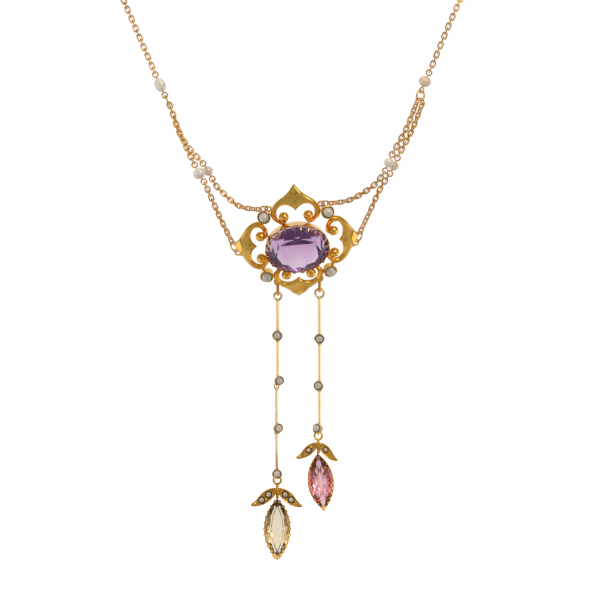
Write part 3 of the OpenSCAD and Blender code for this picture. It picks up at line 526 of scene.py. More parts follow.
def lobe(quarter, shift, cusp_out, end_out, tip, width, crease_shade_side, relief):
    """A lobe as a strip between its outer and inner edges, from one arm to the other. Its edges are
    quarter circles, which meet on the arms; where it is wide it is nearly flat between them, and there
    lie the planes of the spear and cusp facets. The arms are painted redder at their ends, a painted
    reflection of the other gold. Painted shade lies along one side of the crease, and a few painted
    dark spots stand for dark reflections."""
    s, e, w, painted_shade = shift, shift + end_out, width, abs(crease_shade_side)
    outer = [[0, tip], [0.6 + 0.15 * painted_shade, tip - 0.7], [1.4, 11.0 + s], [2.4 * w, 10.3 + s],
             [3.7 * w, 9.5 + s], [4.65 * w, 8.75 + s], [4.95 * w, 7.4 + s],
             [5.25 * w, 6.2 + e], [4.5, 5.2 + (s + e) / 2], [3.1, 4.9 + e]]
    inner = [[0, 7.5 + cusp_out], [0.45, 8.1 + cusp_out], [1.1, 8.65 + s], [2.1, 8.7 + s],
             [3.2 * w, 8.7 + s], [3.9 * w, 7.9 + s], [3.86 * w, 6.95 + (s + e) / 2],
             [3.84 * w, 6.2 + e], [3.6, 5.75 + s + 1.5 * end_out], [3.1, 5.6 + s + 1.5 * end_out]]
    t = np.linspace(0, 1, 110)**1.15
    t = np.concatenate([-t[:0:-1], t])
    mirror = np.where(t < 0, -1, 1)[:, None] * [1, 0] + [0, 1]
    out, inn = bezier(outer, abs(t)) * mirror, bezier(inner, abs(t)) * mirror
    turn = np.linspace(0, np.pi, front_columns)
    share = np.concatenate([(1 - np.cos(turn)) / 2, back_share])[None, :, None]
    spot = out[:, None] * (1 - share) + inn[:, None] * share
    u, v = spot[..., 0], spot[..., 1]
    wide = np.linalg.norm(out - inn, axis=1)[:, None]
    edge = (1 - np.abs(np.cos(turn))) / 2 * wide / np.minimum(wide / 2, edge_round)
    arch = 0.88 * np.sqrt(1 - (1 - np.clip(edge, 0, 1))**2) + 0.12 * np.sin(turn).clip(0)
    crest = arm_crest + 0.06 * np.clip(wide - 1.0, 0, 2.5)
    height = np.full(u.shape, back_low)
    height[:, :front_columns] = edge_low + (crest - edge_low) * arch
    over = np.zeros(u.shape)
    over[:, :front_columns] = np.clip(arch * 1.5, 0, 1)
    past = v - (crease_at + s * 0.4 + crease_bow * np.abs(u))
    roof = relief * np.where(past > 0, spear_rise - spear_slope * past,
                             np.clip(spear_rise + body_slope * past, 0, None))
    dip = cusp_slope * np.clip(7.5 + cusp_out + 1.25 - np.abs(u) * 0.6 - v, 0, None)
    rings = dome_point(u, v, height + (roof - dip) * over)
    # painted shade along one side of the crease, then the painted dark spots
    painted_marks = 0.9 * np.exp(-(past / 0.08)**2) * np.clip(u * crease_shade_side * 4 + 1, 0, 1) * painted_shade
    for place, spot_u, spot_v, radius, darkness in painted_dark_spots:
        if place == quarter:
            painted_marks = np.maximum(painted_marks, darkness * np.exp(-np.hypot(u - spot_u, v - spot_v)**2 / radius**2))
    # painted reflection of other gold: redder toward the arms' ends
    painted_gold_reflection = np.broadcast_to(np.clip((abs(t) - 0.3) / 0.4, 0, 1)[:, None], u.shape)
    points, faces = sweep(rings @ about(2, quarter * np.pi / 2).T)
    return points, faces, (painted_marks * over).ravel(), painted_gold_reflection.ravel()


def with_painted_reflection(part, share):
    """The part, and its painted darkening if it has any, with the same painted reflection of other
    gold all over.
    """
    painted_marks = part[2] if len(part) > 2 else np.zeros(len(part[0]))
    return *part[:2], painted_marks, np.full(len(part[0]), share)


def rings_about(radius, height, cols):
    """Rings of points about the upright axis, one for each row of radii and heights."""
    a = angles(cols)
    return np.stack(np.broadcast_arrays(radius * np.cos(a), radius * np.sin(a), height + 0 * a), -1)


def ball(radius, squash=1.0, rows=20, cols=28):
    """A sphere on a grid of latitude and longitude, its height times squash."""
    a = np.linspace(0, np.pi, rows + 2)[1:-1, None]
    return sweep(rings_about(radius * np.sin(a), radius * squash * np.cos(a), cols))


parts = []
for quarter, (shift, cusp_out, end_out, ball_out, *form) in enumerate(lobes):
    parts.append(lobe(quarter, shift, cusp_out, end_out, *form))
    spin = about(2, quarter * np.pi / 2)[:2, :2]
    end = 5.25 + shift + end_out
    for side in (-1, 1):
        curl = np.array([[3.5, end + 0.02], [3.05, end - 0.1], [2.7, end - 0.1],
                         [2.42, end + 0.15], [2.4, 5.9 + ball_out], [2.45, 6.4 + ball_out]])
        path = spline(curl, 6) * [side, 1] @ spin.T
        radius = np.interp(np.linspace(0, 1, len(path)), [0, 0.3, 0.6, 0.85, 1],
                           [0.3, 0.37, 0.44, 0.55, 0.7])
        line = dome_point(path[:, 0], path[:, 1], np.full(len(path), -0.25))
        curl = wire(line, radius, unit(line.mean(0) + [0, 0, dome_r]), 14)
        # The curls are painted fully redder and the balls partly: a painted reflection of the other
        # gold.
        parts.append(with_painted_reflection(curl, 1.0))
        u, v = (scroll_at + [0, ball_out]) * [side, 1] @ spin.T
        parts.append(on_dome(with_painted_reflection(ball(scroll_r), 0.55), u, v))
piece("frame_lobes", [on_frame(p) for p in parts], frame_gold, ["frame"], sharp=24)

# Pearl collets of the frame
# Each is a tapered tube of gold with a rubbed-over lip, soldered in a corner of the frame to a
# small joint on either side.
corner_at = np.array([6.35, 6.55])
corner_signs = np.array([[-1, 1], [1, 1], [-1, -1], [1, -1]])
collet_profile = np.array(
    [[1.16, -0.95], [1.2, -0.9], [1.25, -0.3], [1.34, 0.36], [1.38, 0.48], [1.36, 0.56],
     [1.29, 0.6], [1.2, 0.58], [1.15, 0.5], [1.14, 0.08]])


def lathe(profile, sides=40, painted_shade=4):
    """A profile of (radius, height) turned about the upright axis. Its last points, inside the lip,
    carry painted shade."""
    painted_marks = np.clip(np.arange(len(profile)) - len(profile) + painted_shade, 0.0, 1.0)
    return *sweep(rings_about(profile[:, :1], profile[:, 1:], sides)), np.repeat(painted_marks, sides)


parts = []
for su, sv in corner_signs:
    u, v = corner_at * [su, sv]
    parts.append(on_dome(lathe(collet_profile, painted_shade=2), u, v))
    for joint in ([4.95, 7.1], [7.3, 4.95]):
        share = np.linspace(0.55, 1.12, 7)[:, None]
        path = [u, v] + (np.array(joint) * [su, sv] - [u, v]) * share
        line = dome_point(path[:, 0], path[:, 1], np.full(len(path), -0.38))
        parts.append(wire(line, 0.3, unit(line.mean(0) + [0, 0, dome_r]), 10))
piece("frame_collets", [on_frame(p) for p in parts], frame_gold, ["frame"])

# Collet of the oval stone
# A flared wall of rose gold. Its upper edge is filed into pointed claws, which are pushed over
# the stone.
oval = np.array([12.06, 10.16]) / 2
oval_mid = np.array([-0.18, 0.1, 1.35])
wall_longer = 0.2
oval_claws = 24
claw_steps = 14
claw_share = 0.5
outer_section = np.array([[0.02, -2.2], [0.1, -1.6], [0.22, -0.6], [0.27, 0.0], [0.27, 0.25],
                          [0.2, 0.5], [0.04, 0.78], [-0.2, 0.98], [-0.45, 1.1]])
inner_section = np.array([[-0.35, -2.2], [-0.4, -0.8], [0.03, -0.35], [0.04, 0.1], [0.04, 0.2],
                          [0.0, 0.34], [-0.1, 0.52], [-0.25, 0.7], [-0.45, 0.92]])
rose_gold = gold_finish("rose_gold", (0.81, 0.51, 0.19), (0.7, 0.39, 0.12), 0.2, 0.04)


def section_point(section, reach):
    """Points at a share (0 to 1) of the running length of a section, for each reach."""
    cum = running(section)
    x = reach * cum[-1]
    return np.stack([np.interp(x, cum, section[:, k]) for k in (0, 1)], -1)


def clawed_wall(line, normal, claw, gap_reach, outer, inner, rows=12):
    """A wall that follows a closed line. At each column its outer and inner skins run up the
    two sections as far as the claw there reaches, from gap_reach of them at claw 0 to all of
    them at claw 1."""
    reach = gap_reach + (1 - gap_reach) * claw
    share = np.linspace(0, 1, rows)[None] * reach[:, None]
    ring = np.concatenate([section_point(outer, share), section_point(inner, share)[:, ::-1]], 1)
    flat = line[:, None] + ring[..., :1] * normal[:, None]
    return sweep(np.concatenate([flat, ring[..., 1:]], -1), round_way=True)


columns = oval_claws * claw_steps
a = angles(columns)
line = np.stack([(oval[0] + wall_longer) * np.cos(a), oval[1] * np.sin(a)], 1)
normal = unit(np.stack([oval[1] * np.cos(a), oval[0] * np.sin(a)], 1))
phase = np.arange(columns) % claw_steps / claw_steps
claw = np.clip(1 - np.abs(phase - 0.5) * 2 / claw_share, 0, 1)
points, faces = clawed_wall(line, normal, claw, 0.56, outer_section, inner_section)
piece("oval_collet", [on_frame((points + oval_mid, faces))], rose_gold, ["frame"])

# Rings of the frame
# Rings of wire at its back, each on a short foot: two for the drops, four for the festoons.
ring_r = 0.62
ring_wire = 0.36
drop_ring_wire = 0.42
foot_d = 0.5
drop_rings = [[[-4.08, -9.34, -3.61], [-4.0, -8.5, -1.8]], [[4.37, -9.35, -3.63], [4.2, -8.5, -1.8]]]
chain_rings = [
    [[-5.3, 7.26, -3.4], [-0.98, 0.25, -0.08], 40, [-4.5, 7.3, -1.7]],
    [[5.35, 7.34, -3.55], [0.98, 0.3, 0.03], -40, [4.5, 7.4, -1.7]],
    [[-11.85, -1.7, -3.1], [-0.5, 0.05, 0.86], 35, [-11.0, -1.9, -2.3]],
    [[11.95, -1.7, -3.1], [0.4, 0.05, 0.92], -35, [11.1, -1.9, -2.3]]]


def turned(way, roll):
    """Matrix with its first column along a way, and its third rolled by degrees from the front."""
    e1 = unit(way)
    n = square_to(e1, FRONT)
    e3 = np.cos(np.radians(roll)) * n + np.sin(np.radians(roll)) * np.cross(n, e1)
    return np.stack([e1, np.cross(e3, e1), e3], 1)


def wire_ring(r, thick, at, turn, turns=40, sides=12):
    """A ring of wire in plane XY, turned by a matrix and moved to its place."""
    points, faces = wire(rings_about(r, 0, turns), thick / 2, [0, 0, 1], sides, True)
    return outward((points @ turn.T + at, faces))


def bar_between(a, b, thick, spread=1.5):
    """A round bar, thicker by spread at its far end, where the solder runs out."""
    share = np.linspace(0, 1, 9)
    path = np.asarray(a) + (np.asarray(b) - a) * share[:, None]
    across = np.cross(unit(np.subtract(b, a)), [0.3, 0.2, 0.9])
    return wire(path, thick / 2 * (1 + (spread - 1) * share**4), unit(across), 12)


parts = []
for middle, foot in drop_rings:
    at = frame_point(middle)
    parts.append(wire_ring(ring_r, drop_ring_wire, at, about(0, np.pi / 2)))
    parts.append(bar_between(at + [0, 0, ring_r], frame_point(foot), foot_d + 0.1))
for middle, pull, turn, foot in chain_rings:
    at = frame_point(middle)
    parts.append(wire_ring(ring_r, ring_wire, at, turned(pull, turn)))
    parts.append(bar_between(at - unit(pull) * ring_r, frame_point(foot), foot_d))
piece("frame_rings", parts, frame_gold, ["frame"])

# Oval stone
# An amethyst, cut by hand: a broad table, a crown of eight main facets with their star and
# girdle facets, and a pavilion that ends in a keel. Light from behind passes through it.
stone_rings = [((0.77, 0.63), 1.75), ((0.9, 0.85), 1.0), (1.0, 0.15), (1.0, -0.15),
               ((0.73, 0.6), -2.3), ((0.64, 0.03), -3.8)]
main_facets = 8
stone_play = 0.02


def arc(a, b, share):
    """One side of a marquise, a circle's arc of half length a and rise b: the angles and the
    points at shares from -1 to 1 of the way between its tips."""
    r = (a * a + b * b) / (2 * b)
    g = share * np.arcsin(a / r)
    return g, np.stack([r * np.sin(g), r * np.cos(g) - (r - b)], 1)


def outline(angle, a, b, pointed):
    """Points of an ellipse, or of a marquise of two arcs that meet at its tips."""
    if not pointed:
        return np.stack([a * np.cos(np.radians(angle)), b * np.sin(np.radians(angle))], 1)
    side = np.where(angle % 360 < 180, 1, -1)[:, None]
    return arc(a, b, (90 - angle % 180) / 90)[1] * side


def cut_stone(a, b, rings, pointed):
    """A cut stone. Its rings are (share of the outline, height): table, crown, girdle twice,
    pavilion and culet. Those of the girdle have two corners to a main facet; the crown's and
    pavilion's stand half a step further round."""
    n, points = main_facets, []
    for (share, height), corners, half in zip(rings, (1, 1, 2, 2, 1, 1), (0, 1, 0, 0, 1, 0)):
        count = n * corners
        flat = outline(360 * (np.arange(count) + half / 2) / count, a, b, pointed)
        points.append(np.column_stack([flat * np.broadcast_to(share, 2), np.full(count, height)]))
    i = np.arange(n)
    j, h = (i + 1) % n, (i + n - 1) % n
    mid, top, low, pav, cul = n, 2 * n, 4 * n, 6 * n, 7 * n
    triangles = np.concatenate([np.stack(t, 1) for t in (
        (i, j, mid + i), (i, mid + i, top + 2 * i), (mid + h, i, top + 2 * i),
        (top + 2 * i, mid + i, top + 2 * i + 1), (mid + i, top + 2 * j, top + 2 * i + 1),
        (low + 2 * i, low + 2 * i + 1, pav + i), (low + 2 * i + 1, low + 2 * j, pav + i),
        (pav + i, cul + i, low + 2 * i), (cul + i, pav + h, low + 2 * i),
        (pav + i, cul + j, cul + i))])
    around = np.arange(2 * n)
    beside = (around + 1) % (2 * n)
    girdle = np.stack([top + around, top + beside, low + beside, low + around], 1)
    ends = np.stack([np.arange(n)[::-1], cul + np.arange(n)])
    return outward((np.concatenate(points), [triangles, girdle, ends]))


def stone_finish(name, tint, through, bend):
    """A clear stone. tint is the colour of light that crosses its skin, through what is left
    of white light after 5 mm inside it. Faint zones of colour and a few polish lines vary it."""
    finish = bpy.data.materials.new(name)
    finish.use_nodes = True
    tree = finish.node_tree
    paler = 0.5 + 0.5 * np.array(tint)
    feed(tree.nodes["Principled BSDF"], {
        "Base Color": mixed(tree, noise(tree, 180), (*tint, 1), (*paler, 1)),
        "Roughness": mapped(tree, noise(tree, 1500), 0.55, 0.8, 0.0, 0.06),
        "Transmission Weight": 1.0, "IOR": bend})
    lost = -np.log(through) / (5 * MM)
    density = lost.max() * 1.02
    inside = add(tree, "VolumeAbsorption", {"Color": (*(1 - lost / density), 1), "Density": density})
    feed(tree.nodes["Material Output"], {"Volume": inside.outputs["Volume"]})
    return finish


amethyst_glass = stone_finish("amethyst", (0.96, 1.0, 0.88), (0.62, 0.39, 0.64), 1.545)
points, faces = cut_stone(*(oval - stone_play), stone_rings, False)
piece("amethyst_stone", [on_frame((points + oval_mid, faces))], amethyst_glass, ["amethyst"],
      sharp=0)

# Half pearls
# Small pearls, ground flat on the back and set in the collets and leaves. Age has turned them grey or
# cream, their edges are painted darker as painted shade, and they are never quite round.
nacre, given, end, painted_darkening = surface_group("nacre", ("Light", "Shade"), "Gleam")
clouds = mapped(nacre, noise(nacre, 900, 3), 0.35, 0.7)
tone = mixed(nacre, clouds, given["Light"], given["Shade"])
skin = noise(nacre, 2600, 3)
# painted shade: toward their edges the pearls darken to brown
feed(end, {"Colour": mixed(nacre, painted_darkening, tone, (0.2, 0.14, 0.09, 1)),
           "Roughness": multiply_add(nacre, skin, 0.15, given["Gleam"]), "Height": skin})


def pearl_finish(name, light, shade, gleam):
    """Nacre of the two tones given, under a clear coat."""
    return finish_of(name, nacre, {"Light": light, "Shade": shade, "Gleam": gleam}, 0.002, {
        "Subsurface Weight": 0.15, "Subsurface Radius": (0.5, 0.4, 0.35),
        "Subsurface Scale": 0.6 * MM, "Coat Weight": 1.0, "Coat Roughness": 0.16,
        "Coat IOR": 1.75, "IOR": 1.65})


grey_pearl = pearl_finish("grey_pearl", (0.64, 0.55, 0.46), (0.5, 0.42, 0.34), 0.22)
cream_pearl = pearl_finish("cream_pearl", (0.69, 0.57, 0.43), (0.55, 0.45, 0.33), 0.22)
pearl_gap = 0.04
cup_wall = 0.24
# how far the middle of a pearl's sphere lies above the foot of its collet
corner_pearl_up = 0.55
bar_pearl_up = 1.0


def half_pearl(radius, low, seed, rows=14, cols=32):
    """A dome of a sphere, centred low under its middle and cut flat at low / 0.6, its radius swelled
    by two slow waves round it. Painted shade creeps up from its edge."""
    cut = -low + pearl_gap
    base = -0.4 * low
    start = np.arccos((cut - base) / radius)
    a = np.linspace(0.04, start, rows)[:, None]
    b = angles(cols)[None]
    swell = 1 - 0.018 * (1 + np.sin(2 * b + seed)) * np.sin(a) - 0.01 * (1 + np.cos(3 * b + 2 * seed))
    painted_marks = np.clip(a / start * 1.8 - 0.8, 0, 1)**1.5 * np.ones(b.shape)
    rings = rings_about(radius * swell * np.sin(a), base + radius * np.cos(a), cols)
    return *sweep(rings), 0.8 * painted_marks.ravel()


for k, (su, sv) in enumerate(corner_signs):
    dome, faces, painted_marks = half_pearl(1.38 - cup_wall - pearl_gap, 0.5, 1.7 * k)
    dome = on_dome((dome + [0, 0, corner_pearl_up], faces, painted_marks), *(corner_at * [su, sv]))
    piece(f"corner_pearl_{k + 1}", [on_frame(dome)], cream_pearl if k == 1 else grey_pearl,
          [f"frame_pearl_{k + 1}"])

# Drops
# Each hangs by an upright link of flattened wire from the frame and is jointed by eyes. The
# knife-edge bars of pale gold are wide at the eye, where they are soldered, and end in the
# pearl collets.
link_length, link_width = 2.86, 1.52
# thickness of the links' wire in their own plane and across it
link_wire, link_across = 0.4, 0.6
bar_w = 0.64
bar_depth = 0.8
bar_cup_r = 1.05
cup_reach = bar_cup_r - 0.15
eye_wire = 0.46
eye_drop = 0.49
back_loop_r, back_loop_wire, back_loop_depth = 0.6, 0.42, 0.6
# how much redder the eyes, loops and collets are painted, a painted reflection of other gold
eye_reflection, cup_reflection = 0.45, 0.35
left_sway, right_sway = hinges["left_bar_sway"], hinges["right_bar_sway"]
left_mid, left_low = hinges["left_lower_bar_swing"], hinges["left_pendant_swing"]
right_low = hinges["right_pendant_swing"]
# body, hinge and how far it lies below the drop's upper hinge; the eye's radius, wire and
# middle; collets (below the upper hinge, turn); the back loop below the last one, and aside
bars = [
    ("left_upper_bar", left_sway, 0.0, (0.74, eye_wire, eye_drop - 0.74),
     [(8.25, -5), (17.3, 22)], 0.33, -0.25),
    ("left_lower_bar", left_mid, left_sway[2] - left_mid[2], (0.5, 0.3, -0.5),
     [(26.85, 27), (36.05, 6)], 0.33, 0.15),
    ("right_bar", right_sway, 0.0, (0.86, eye_wire, eye_drop - 0.86),
     [(9.6, -3), (19.0, -14), (27.55, -38)], 0.63, -0.25)]
bar_cup_profile = np.array(
    [[0.84, 0.0], [0.88, 0.06], [0.93, 0.4], [1.02, 0.85], [1.05, 0.93], [1.04, 1.0],
     [0.98, 1.04], [0.9, 1.03], [0.83, 0.97], [0.81, 0.67]])
pale_gold = gold_finish("pale_gold", (0.94, 0.7, 0.4), (0.84, 0.56, 0.27), 0.22, 0.03)
ACROSS = about(0, np.pi / 2)
SIDEWAYS = about(1, np.pi / 2)


def moved(part, turn=np.eye(3), at=(0, 0, 0)):
    """The part turned by a matrix and moved."""
    return part[0] @ turn.T + at, *part[1:]


def forward(turn):
    """The turn of what faces forward on a bar, but for some degrees aside."""
    return about(2, np.radians(turn)) @ ACROSS


def knife_bar(top, bottom):
    """A bar between two heights below its hinge. Its section is a flat diamond; the upper end
    spreads into a wedge for the eye, the lower end into a small one for the collet."""
    z = np.concatenate([top + np.linspace(-0.25, 0.9, 12), [bottom - 0.5, bottom - 0.2, bottom]])
    wide = np.interp(z - top, [-0.25, 0.05, 0.45, 0.9], [0.5, 0.46, 0.34, bar_w / 2])
    wide = np.where(z > bottom - 0.6, bar_w / 2 + 0.12 * (z - bottom + 0.5) / 0.5, wide)
    deep = np.interp(z - top, [-0.25, 0.3, 0.9], [0.17, 0.3, bar_depth / 2])
    edge = 0.09
    across, along = np.array([[1, edge, -edge, -1, -edge, edge], [0, 1, 1, 0, -1, -1]])
    z, wide, deep = z[:, None], wide[:, None], deep[:, None]
    return sweep(np.stack([across * wide, along * deep, -z + 0 * across], -1))


def bar_piece(body, hinge, offset, eye, cups, below, aside):
    """A bar with its eye, collets and the loop behind the last collet, below its hinge. The eye,
    collets and loop are painted redder, a painted reflection of other gold."""
    r, thick, middle = eye
    parts = [with_painted_reflection(wire_ring(r, thick, [0, 0, middle], ACROSS), eye_reflection)]
    start = r - middle
    for down, turn in cups:
        down -= offset
        parts.append(knife_bar(start, down - cup_reach))
        cup = moved(lathe(bar_cup_profile, 36, 3), forward(turn), [0, 0, -down])
        parts.append(with_painted_reflection(cup, cup_reflection))
        start = down + cup_reach
    loop_at = [aside, back_loop_depth, -down - below]
    loop = wire_ring(back_loop_r, back_loop_wire, loop_at, SIDEWAYS, 32, 10)
    parts.append(with_painted_reflection(loop, eye_reflection))
    piece(f"{body}_gold", [moved(p, at=hinge) for p in parts], pale_gold, [body], body=body)


points, faces = bent_link(link_length, link_width, link_wire, 17, 14)
link = (points * [1, 1, link_across / link_wire], faces)
for body, low_end in (("left_link", left_sway), ("right_link", right_sway)):
    middle = low_end + [0, 0, (link_length - link_wire) / 2]
    piece(f"{body}_gold", [outward(moved(link, SIDEWAYS, middle))], chain_gold, [body], body=body)
for bar in bars:
    bar_piece(*bar)

cups = [(body, hinge - [0, 0, down - offset], turn)
        for body, hinge, offset, _, places, *_ in bars for down, turn in places]
for k, (body, at, turn) in enumerate(cups):
    name = f"left_bar_pearl_{k + 1}" if k < 4 else f"right_bar_pearl_{k - 3}"
    dome = half_pearl(bar_cup_r - cup_wall - pearl_gap, 0.35, 0.9 * k)
    dome = moved(moved(dome, at=[0, 0, bar_pearl_up]), forward(turn), at)
    piece(name.replace("pearl", "half_pearl"), [dome], cream_pearl if k == 2 else grey_pearl,
          [name], body)

# Leaves and marquise collets
# Under each drop's eye two leaves are soldered to a short stem. They are cast thick, with a
# raised edge and a chased, pitted ground; the pearls sit in drilled seats between tiny grains.
# The collet of the marquise stone is cut into claws all along both sides.
leaf_t = 0.7
leaf_slope = -0.09
cut_depth = 0.07
leaf_pearl_r = 0.52
pendant_eye = (0.76, 0.48)
stem_w, stem_spread = 0.62, 1.1
leaf_upper = [[0, 0.3], [0.8, 0.95], [2.0, 1.3], [3.4, 0.98], [4.5, 0.6], [5.2, 0.3], [6.05, 0.42]]
leaf_lower = [[0, -0.3], [1.0, -0.85], [2.0, -1.25], [3.4, -1.2], [4.8, -1.1], [5.8, -0.6],
              [6.3, -0.02]]
# size, droop, and the places of the pearls along it, of each leaf
left_leaves = [(1.0, 33, (2.1, 3.85)), (0.98, 36, (2.0, 3.6))]
right_leaves = [(0.86, 35, (2.8,)), (0.84, 43, (2.35,))]
stone_forward = 0.8
marquise_h = 2.4
# half length, half width, claws a side, reach of the claws, lean, end below the hinge, aside,
# leaves below the hinge, length of the claw at the lower tip
citrine_size = (5.75, 2.4, 11, 0.52, 0, 10.5, 0, 2.5, 1.0)
tourmaline_size = (5.35, 2.35, 12, 0.3, 6.4, 10.0, -0.1, 2.2, 0.5)
seat_r = 0.68
# the grains that hold a pearl, as seen from its middle
grain_r = 0.1
grains = [(0.62, 0.36), (0.62, -0.36), (-0.62, 0.36), (-0.62, -0.36)]
# the beads soldered on where the leaves meet: aside, above the leaves, radius
boss = [(0, 0.1, 0.36), (0, 0.62, 0.24), (-0.44, -0.12, 0.2), (0.44, -0.12, 0.2), (0, -0.45, 0.24)]
leaf_gold = gold_finish("leaf_gold", (0.93, 0.55, 0.1), (0.78, 0.39, 0.045), 0.22, 0.05)


def seat_up(along):
    """How high on a leaf a pearl sits, by its place along it."""
    return along * leaf_slope + 0.2


def leaf(pearls, steps=130, across=35):
    """A leaf between its upper and lower edges. Across it the front is a low arch with a raised bead
    along each edge; slanting cuts, a product of two sines, roughen the ground, and their low parts are
    painted darker. Round each pearl the ground sinks to a seat that carries painted shade."""
    t = np.linspace(0, 1, steps)
    upper, lower = bezier(leaf_upper, t), bezier(leaf_lower, t)
    share = np.concatenate([np.linspace(0, 1, across), [0.96, 0.5, 0.04]])[None, :, None]
    spot = upper[:, None] * (1 - share) + lower[:, None] * share
    u, v = spot[..., 0], spot[..., 1]
    c = share[0, :across, 0] * 2 - 1
    rim = 0.17 * np.exp(-((np.abs(c) - 0.87) / 0.09)**2)
    arch = 0.08 * (1 - c**2) + rim - 0.09 * np.clip((np.abs(c) - 0.9) / 0.1, 0, 1)**2
    height = np.full(u.shape, -leaf_t / 2)
    inside = np.clip((0.75 - np.abs(c)) / 0.15, 0, 1)
    x, y = u[:, :across], v[:, :across]
    cuts = cut_depth * np.sin(9 * x + 7 * y + 2.2 * np.sin(3.1 * y + 1.7 * x)) * np.sin(
        4.5 * x - 11 * y + 2.6 * np.sin(2.3 * x + 4.1 * y))
    fade = np.clip(np.linalg.norm(upper - lower, axis=1) / 1.2, 0, 1)[:, None]
    front = leaf_t / 2 - 0.12 + (arch + cuts * inside) * fade
    painted_marks = np.zeros(u.shape)
    # the low parts of the cuts are painted darker
    painted_marks[:, :across] = 0.9 * inside * fade * np.clip(0.45 - cuts / cut_depth, 0, 1)
    for a in pearls:
        far = np.hypot(x - a, y - seat_up(a))
        seat = np.clip((seat_r + 0.06 - far) / 0.1, 0, 1)
        front = front + (leaf_t / 2 - 0.4 - front) * seat
        # painted shade in each pearl's seat
        painted_marks[:, :across] = np.maximum(painted_marks[:, :across], seat)
    height[:, :across] = front
    return *sweep(np.stack([u, v, height], -1)), painted_marks.ravel()


def on_leaf(part, scale, droop, side, at):
    """The part of a leaf in its place: scaled, drooped, and mirrored on the left."""
    flip = np.diag([-1.0 if side == 0 else 1.0, 1, 1])
    return outward(moved(part, flip @ ACROSS @ about(2, -np.radians(droop)) * scale, at))


def marquise_line(a, b, columns, ends):
    """Points and outward normals round a marquise: two arcs, and a fan of normals at each tip."""
    g, side = arc(a, b, np.linspace(-1, 1, columns))
    points = np.concatenate([side, np.tile([[a, 0.0]], (ends, 1))])
    way = np.concatenate([g, np.linspace(g[-1], np.pi - g[-1], ends + 2)[1:-1]])
    normals = np.stack([np.sin(way), np.cos(way)], 1)
    return np.concatenate([points, -points]), np.concatenate([normals, -normals])


def marquise_collet(size, steps=10, ends=6, rows=14):
    """The clawed wall round a marquise stone. Between the claws it is filed away in a V, so
    that its outline is toothed; at each tip stands a pointed claw."""
    a, b, claws, reach, *_, end_claw = size
    columns = claws * steps
    line, normal = marquise_line(a, b, columns, ends)
    phase = np.arange(columns) % steps / (steps - 1)
    side = np.clip(1 - np.abs(phase - 0.5) * 2 / 0.7, 0, 1)
    tip = np.clip(1 - np.abs(np.linspace(-1, 1, ends)) * 0.8, 0, 1)
    claw = np.tile(np.concatenate([side, tip]), 2)
    claw = np.maximum(claw, np.clip((end_claw - a - line[:, 0]) / 0.3, 0, 1))
    wall_reach = 0.24 + (reach - 0.24) * claw
    half = columns + ends
    wall_reach[columns:half] = wall_reach[half + columns:] = 0.3 + 0.35 * tip
    outer = np.array([[0.1, -marquise_h], [0.22, -1.2], [0.25, -0.5], [0.3, 0.0], [0.26, 0.25],
                      [0.1, 0.5], [-0.1, 0.66], [-0.3, 0.76]])
    inner = np.array([[-0.5, -marquise_h], [-0.45, -1.6], [-0.36, -0.95], [-0.2, -0.6],
                      [0.06, -0.42], [0.07, 0.0], [0.04, 0.16], [-0.05, 0.32], [-0.14, 0.48],
                      [-0.3, 0.62]])
    points, faces = clawed_wall(line, normal, claw, 0.78, outer, inner, rows)
    grid = points.reshape(len(line), 2 * rows, 3)
    up = np.clip((grid[..., 2] + 1.6) / 1.4, 0, 1) * np.clip((0.6 - grid[..., 2]) / 0.5, 0, 1)
    push = (wall_reach - 0.25)[:, None] * up
    push[:, rows:] = 0
    grid[..., :2] += push[..., None] * normal[:, None]
    half_way = np.sign(normal[:, 1:])
    grid[..., 1] = half_way * np.maximum(half_way * grid[..., 1], 0.02 * np.abs(normal[:, 1:]))
    return outward((grid.reshape(-1, 3), faces))


def on_stone(part, size, hinge):
    """The part in the place of a marquise stone, which leans about its upper end."""
    a, _, _, _, lean, below, aside, *_ = size
    lift = np.array([0, 0, a])
    part = moved(part, ACROSS @ about(2, np.pi / 2), -lift)
    part = moved(part, about(1, -np.radians(lean)), lift)
    return moved(part, at=hinge + [aside, -stone_forward, -below])


def pendant(name, leaves, size, hinge, lower_gold):
    """The eye, stem, leaves and marquise collet of a drop, soldered in one. The collet may be
    of another gold."""
    a, below, leaves_down = size[0], size[5], size[7]
    r, thick = pendant_eye
    parts = [wire_ring(r, thick, hinge - [0, 0, r - 0.04], ACROSS)]
    stem = hinge + np.array([[0, 0.1, -2 * r + 0.2], [0, 0.25, a - below + 0.35]])
    parts.append(bar_between(*stem, stem_w, stem_spread))
    for x, z, radius in boss:
        at = hinge + [x, -leaf_t / 2, z - leaves_down]
        parts.append(outward(moved(ball(radius, 0.7, 10, 16), ACROSS, at)))
    for side, (scale, droop, seats) in enumerate(leaves):
        place = (scale, droop, side, hinge - [0, 0, leaves_down])
        parts.append(on_leaf(leaf(seats), *place))
        for seat in seats:
            for dx, dy in grains:
                at = [seat + dx, seat_up(seat) + dy, leaf_t / 2]
                parts.append(on_leaf(moved(ball(grain_r, 0.8, 6, 10), at=at), *place))
    collet = on_stone(marquise_collet(size), size, hinge)
    if lower_gold is None:
        parts.append(collet)
    else:
        piece(f"{name}_collet", [collet], lower_gold, body=name, sharp=42)
    piece(f"{name}_gold", parts, leaf_gold, [f"{name}_setting"], body=name, sharp=42)


# side, leaves, measures, hinge, and the collet's gold where it isn't that of the leaves
drops = [("left", left_leaves, citrine_size, left_low, rose_gold),
         ("right", right_leaves, tourmaline_size, right_low, None)]
for side, *drop in drops:
    pendant(f"{side}_pendant", *drop)

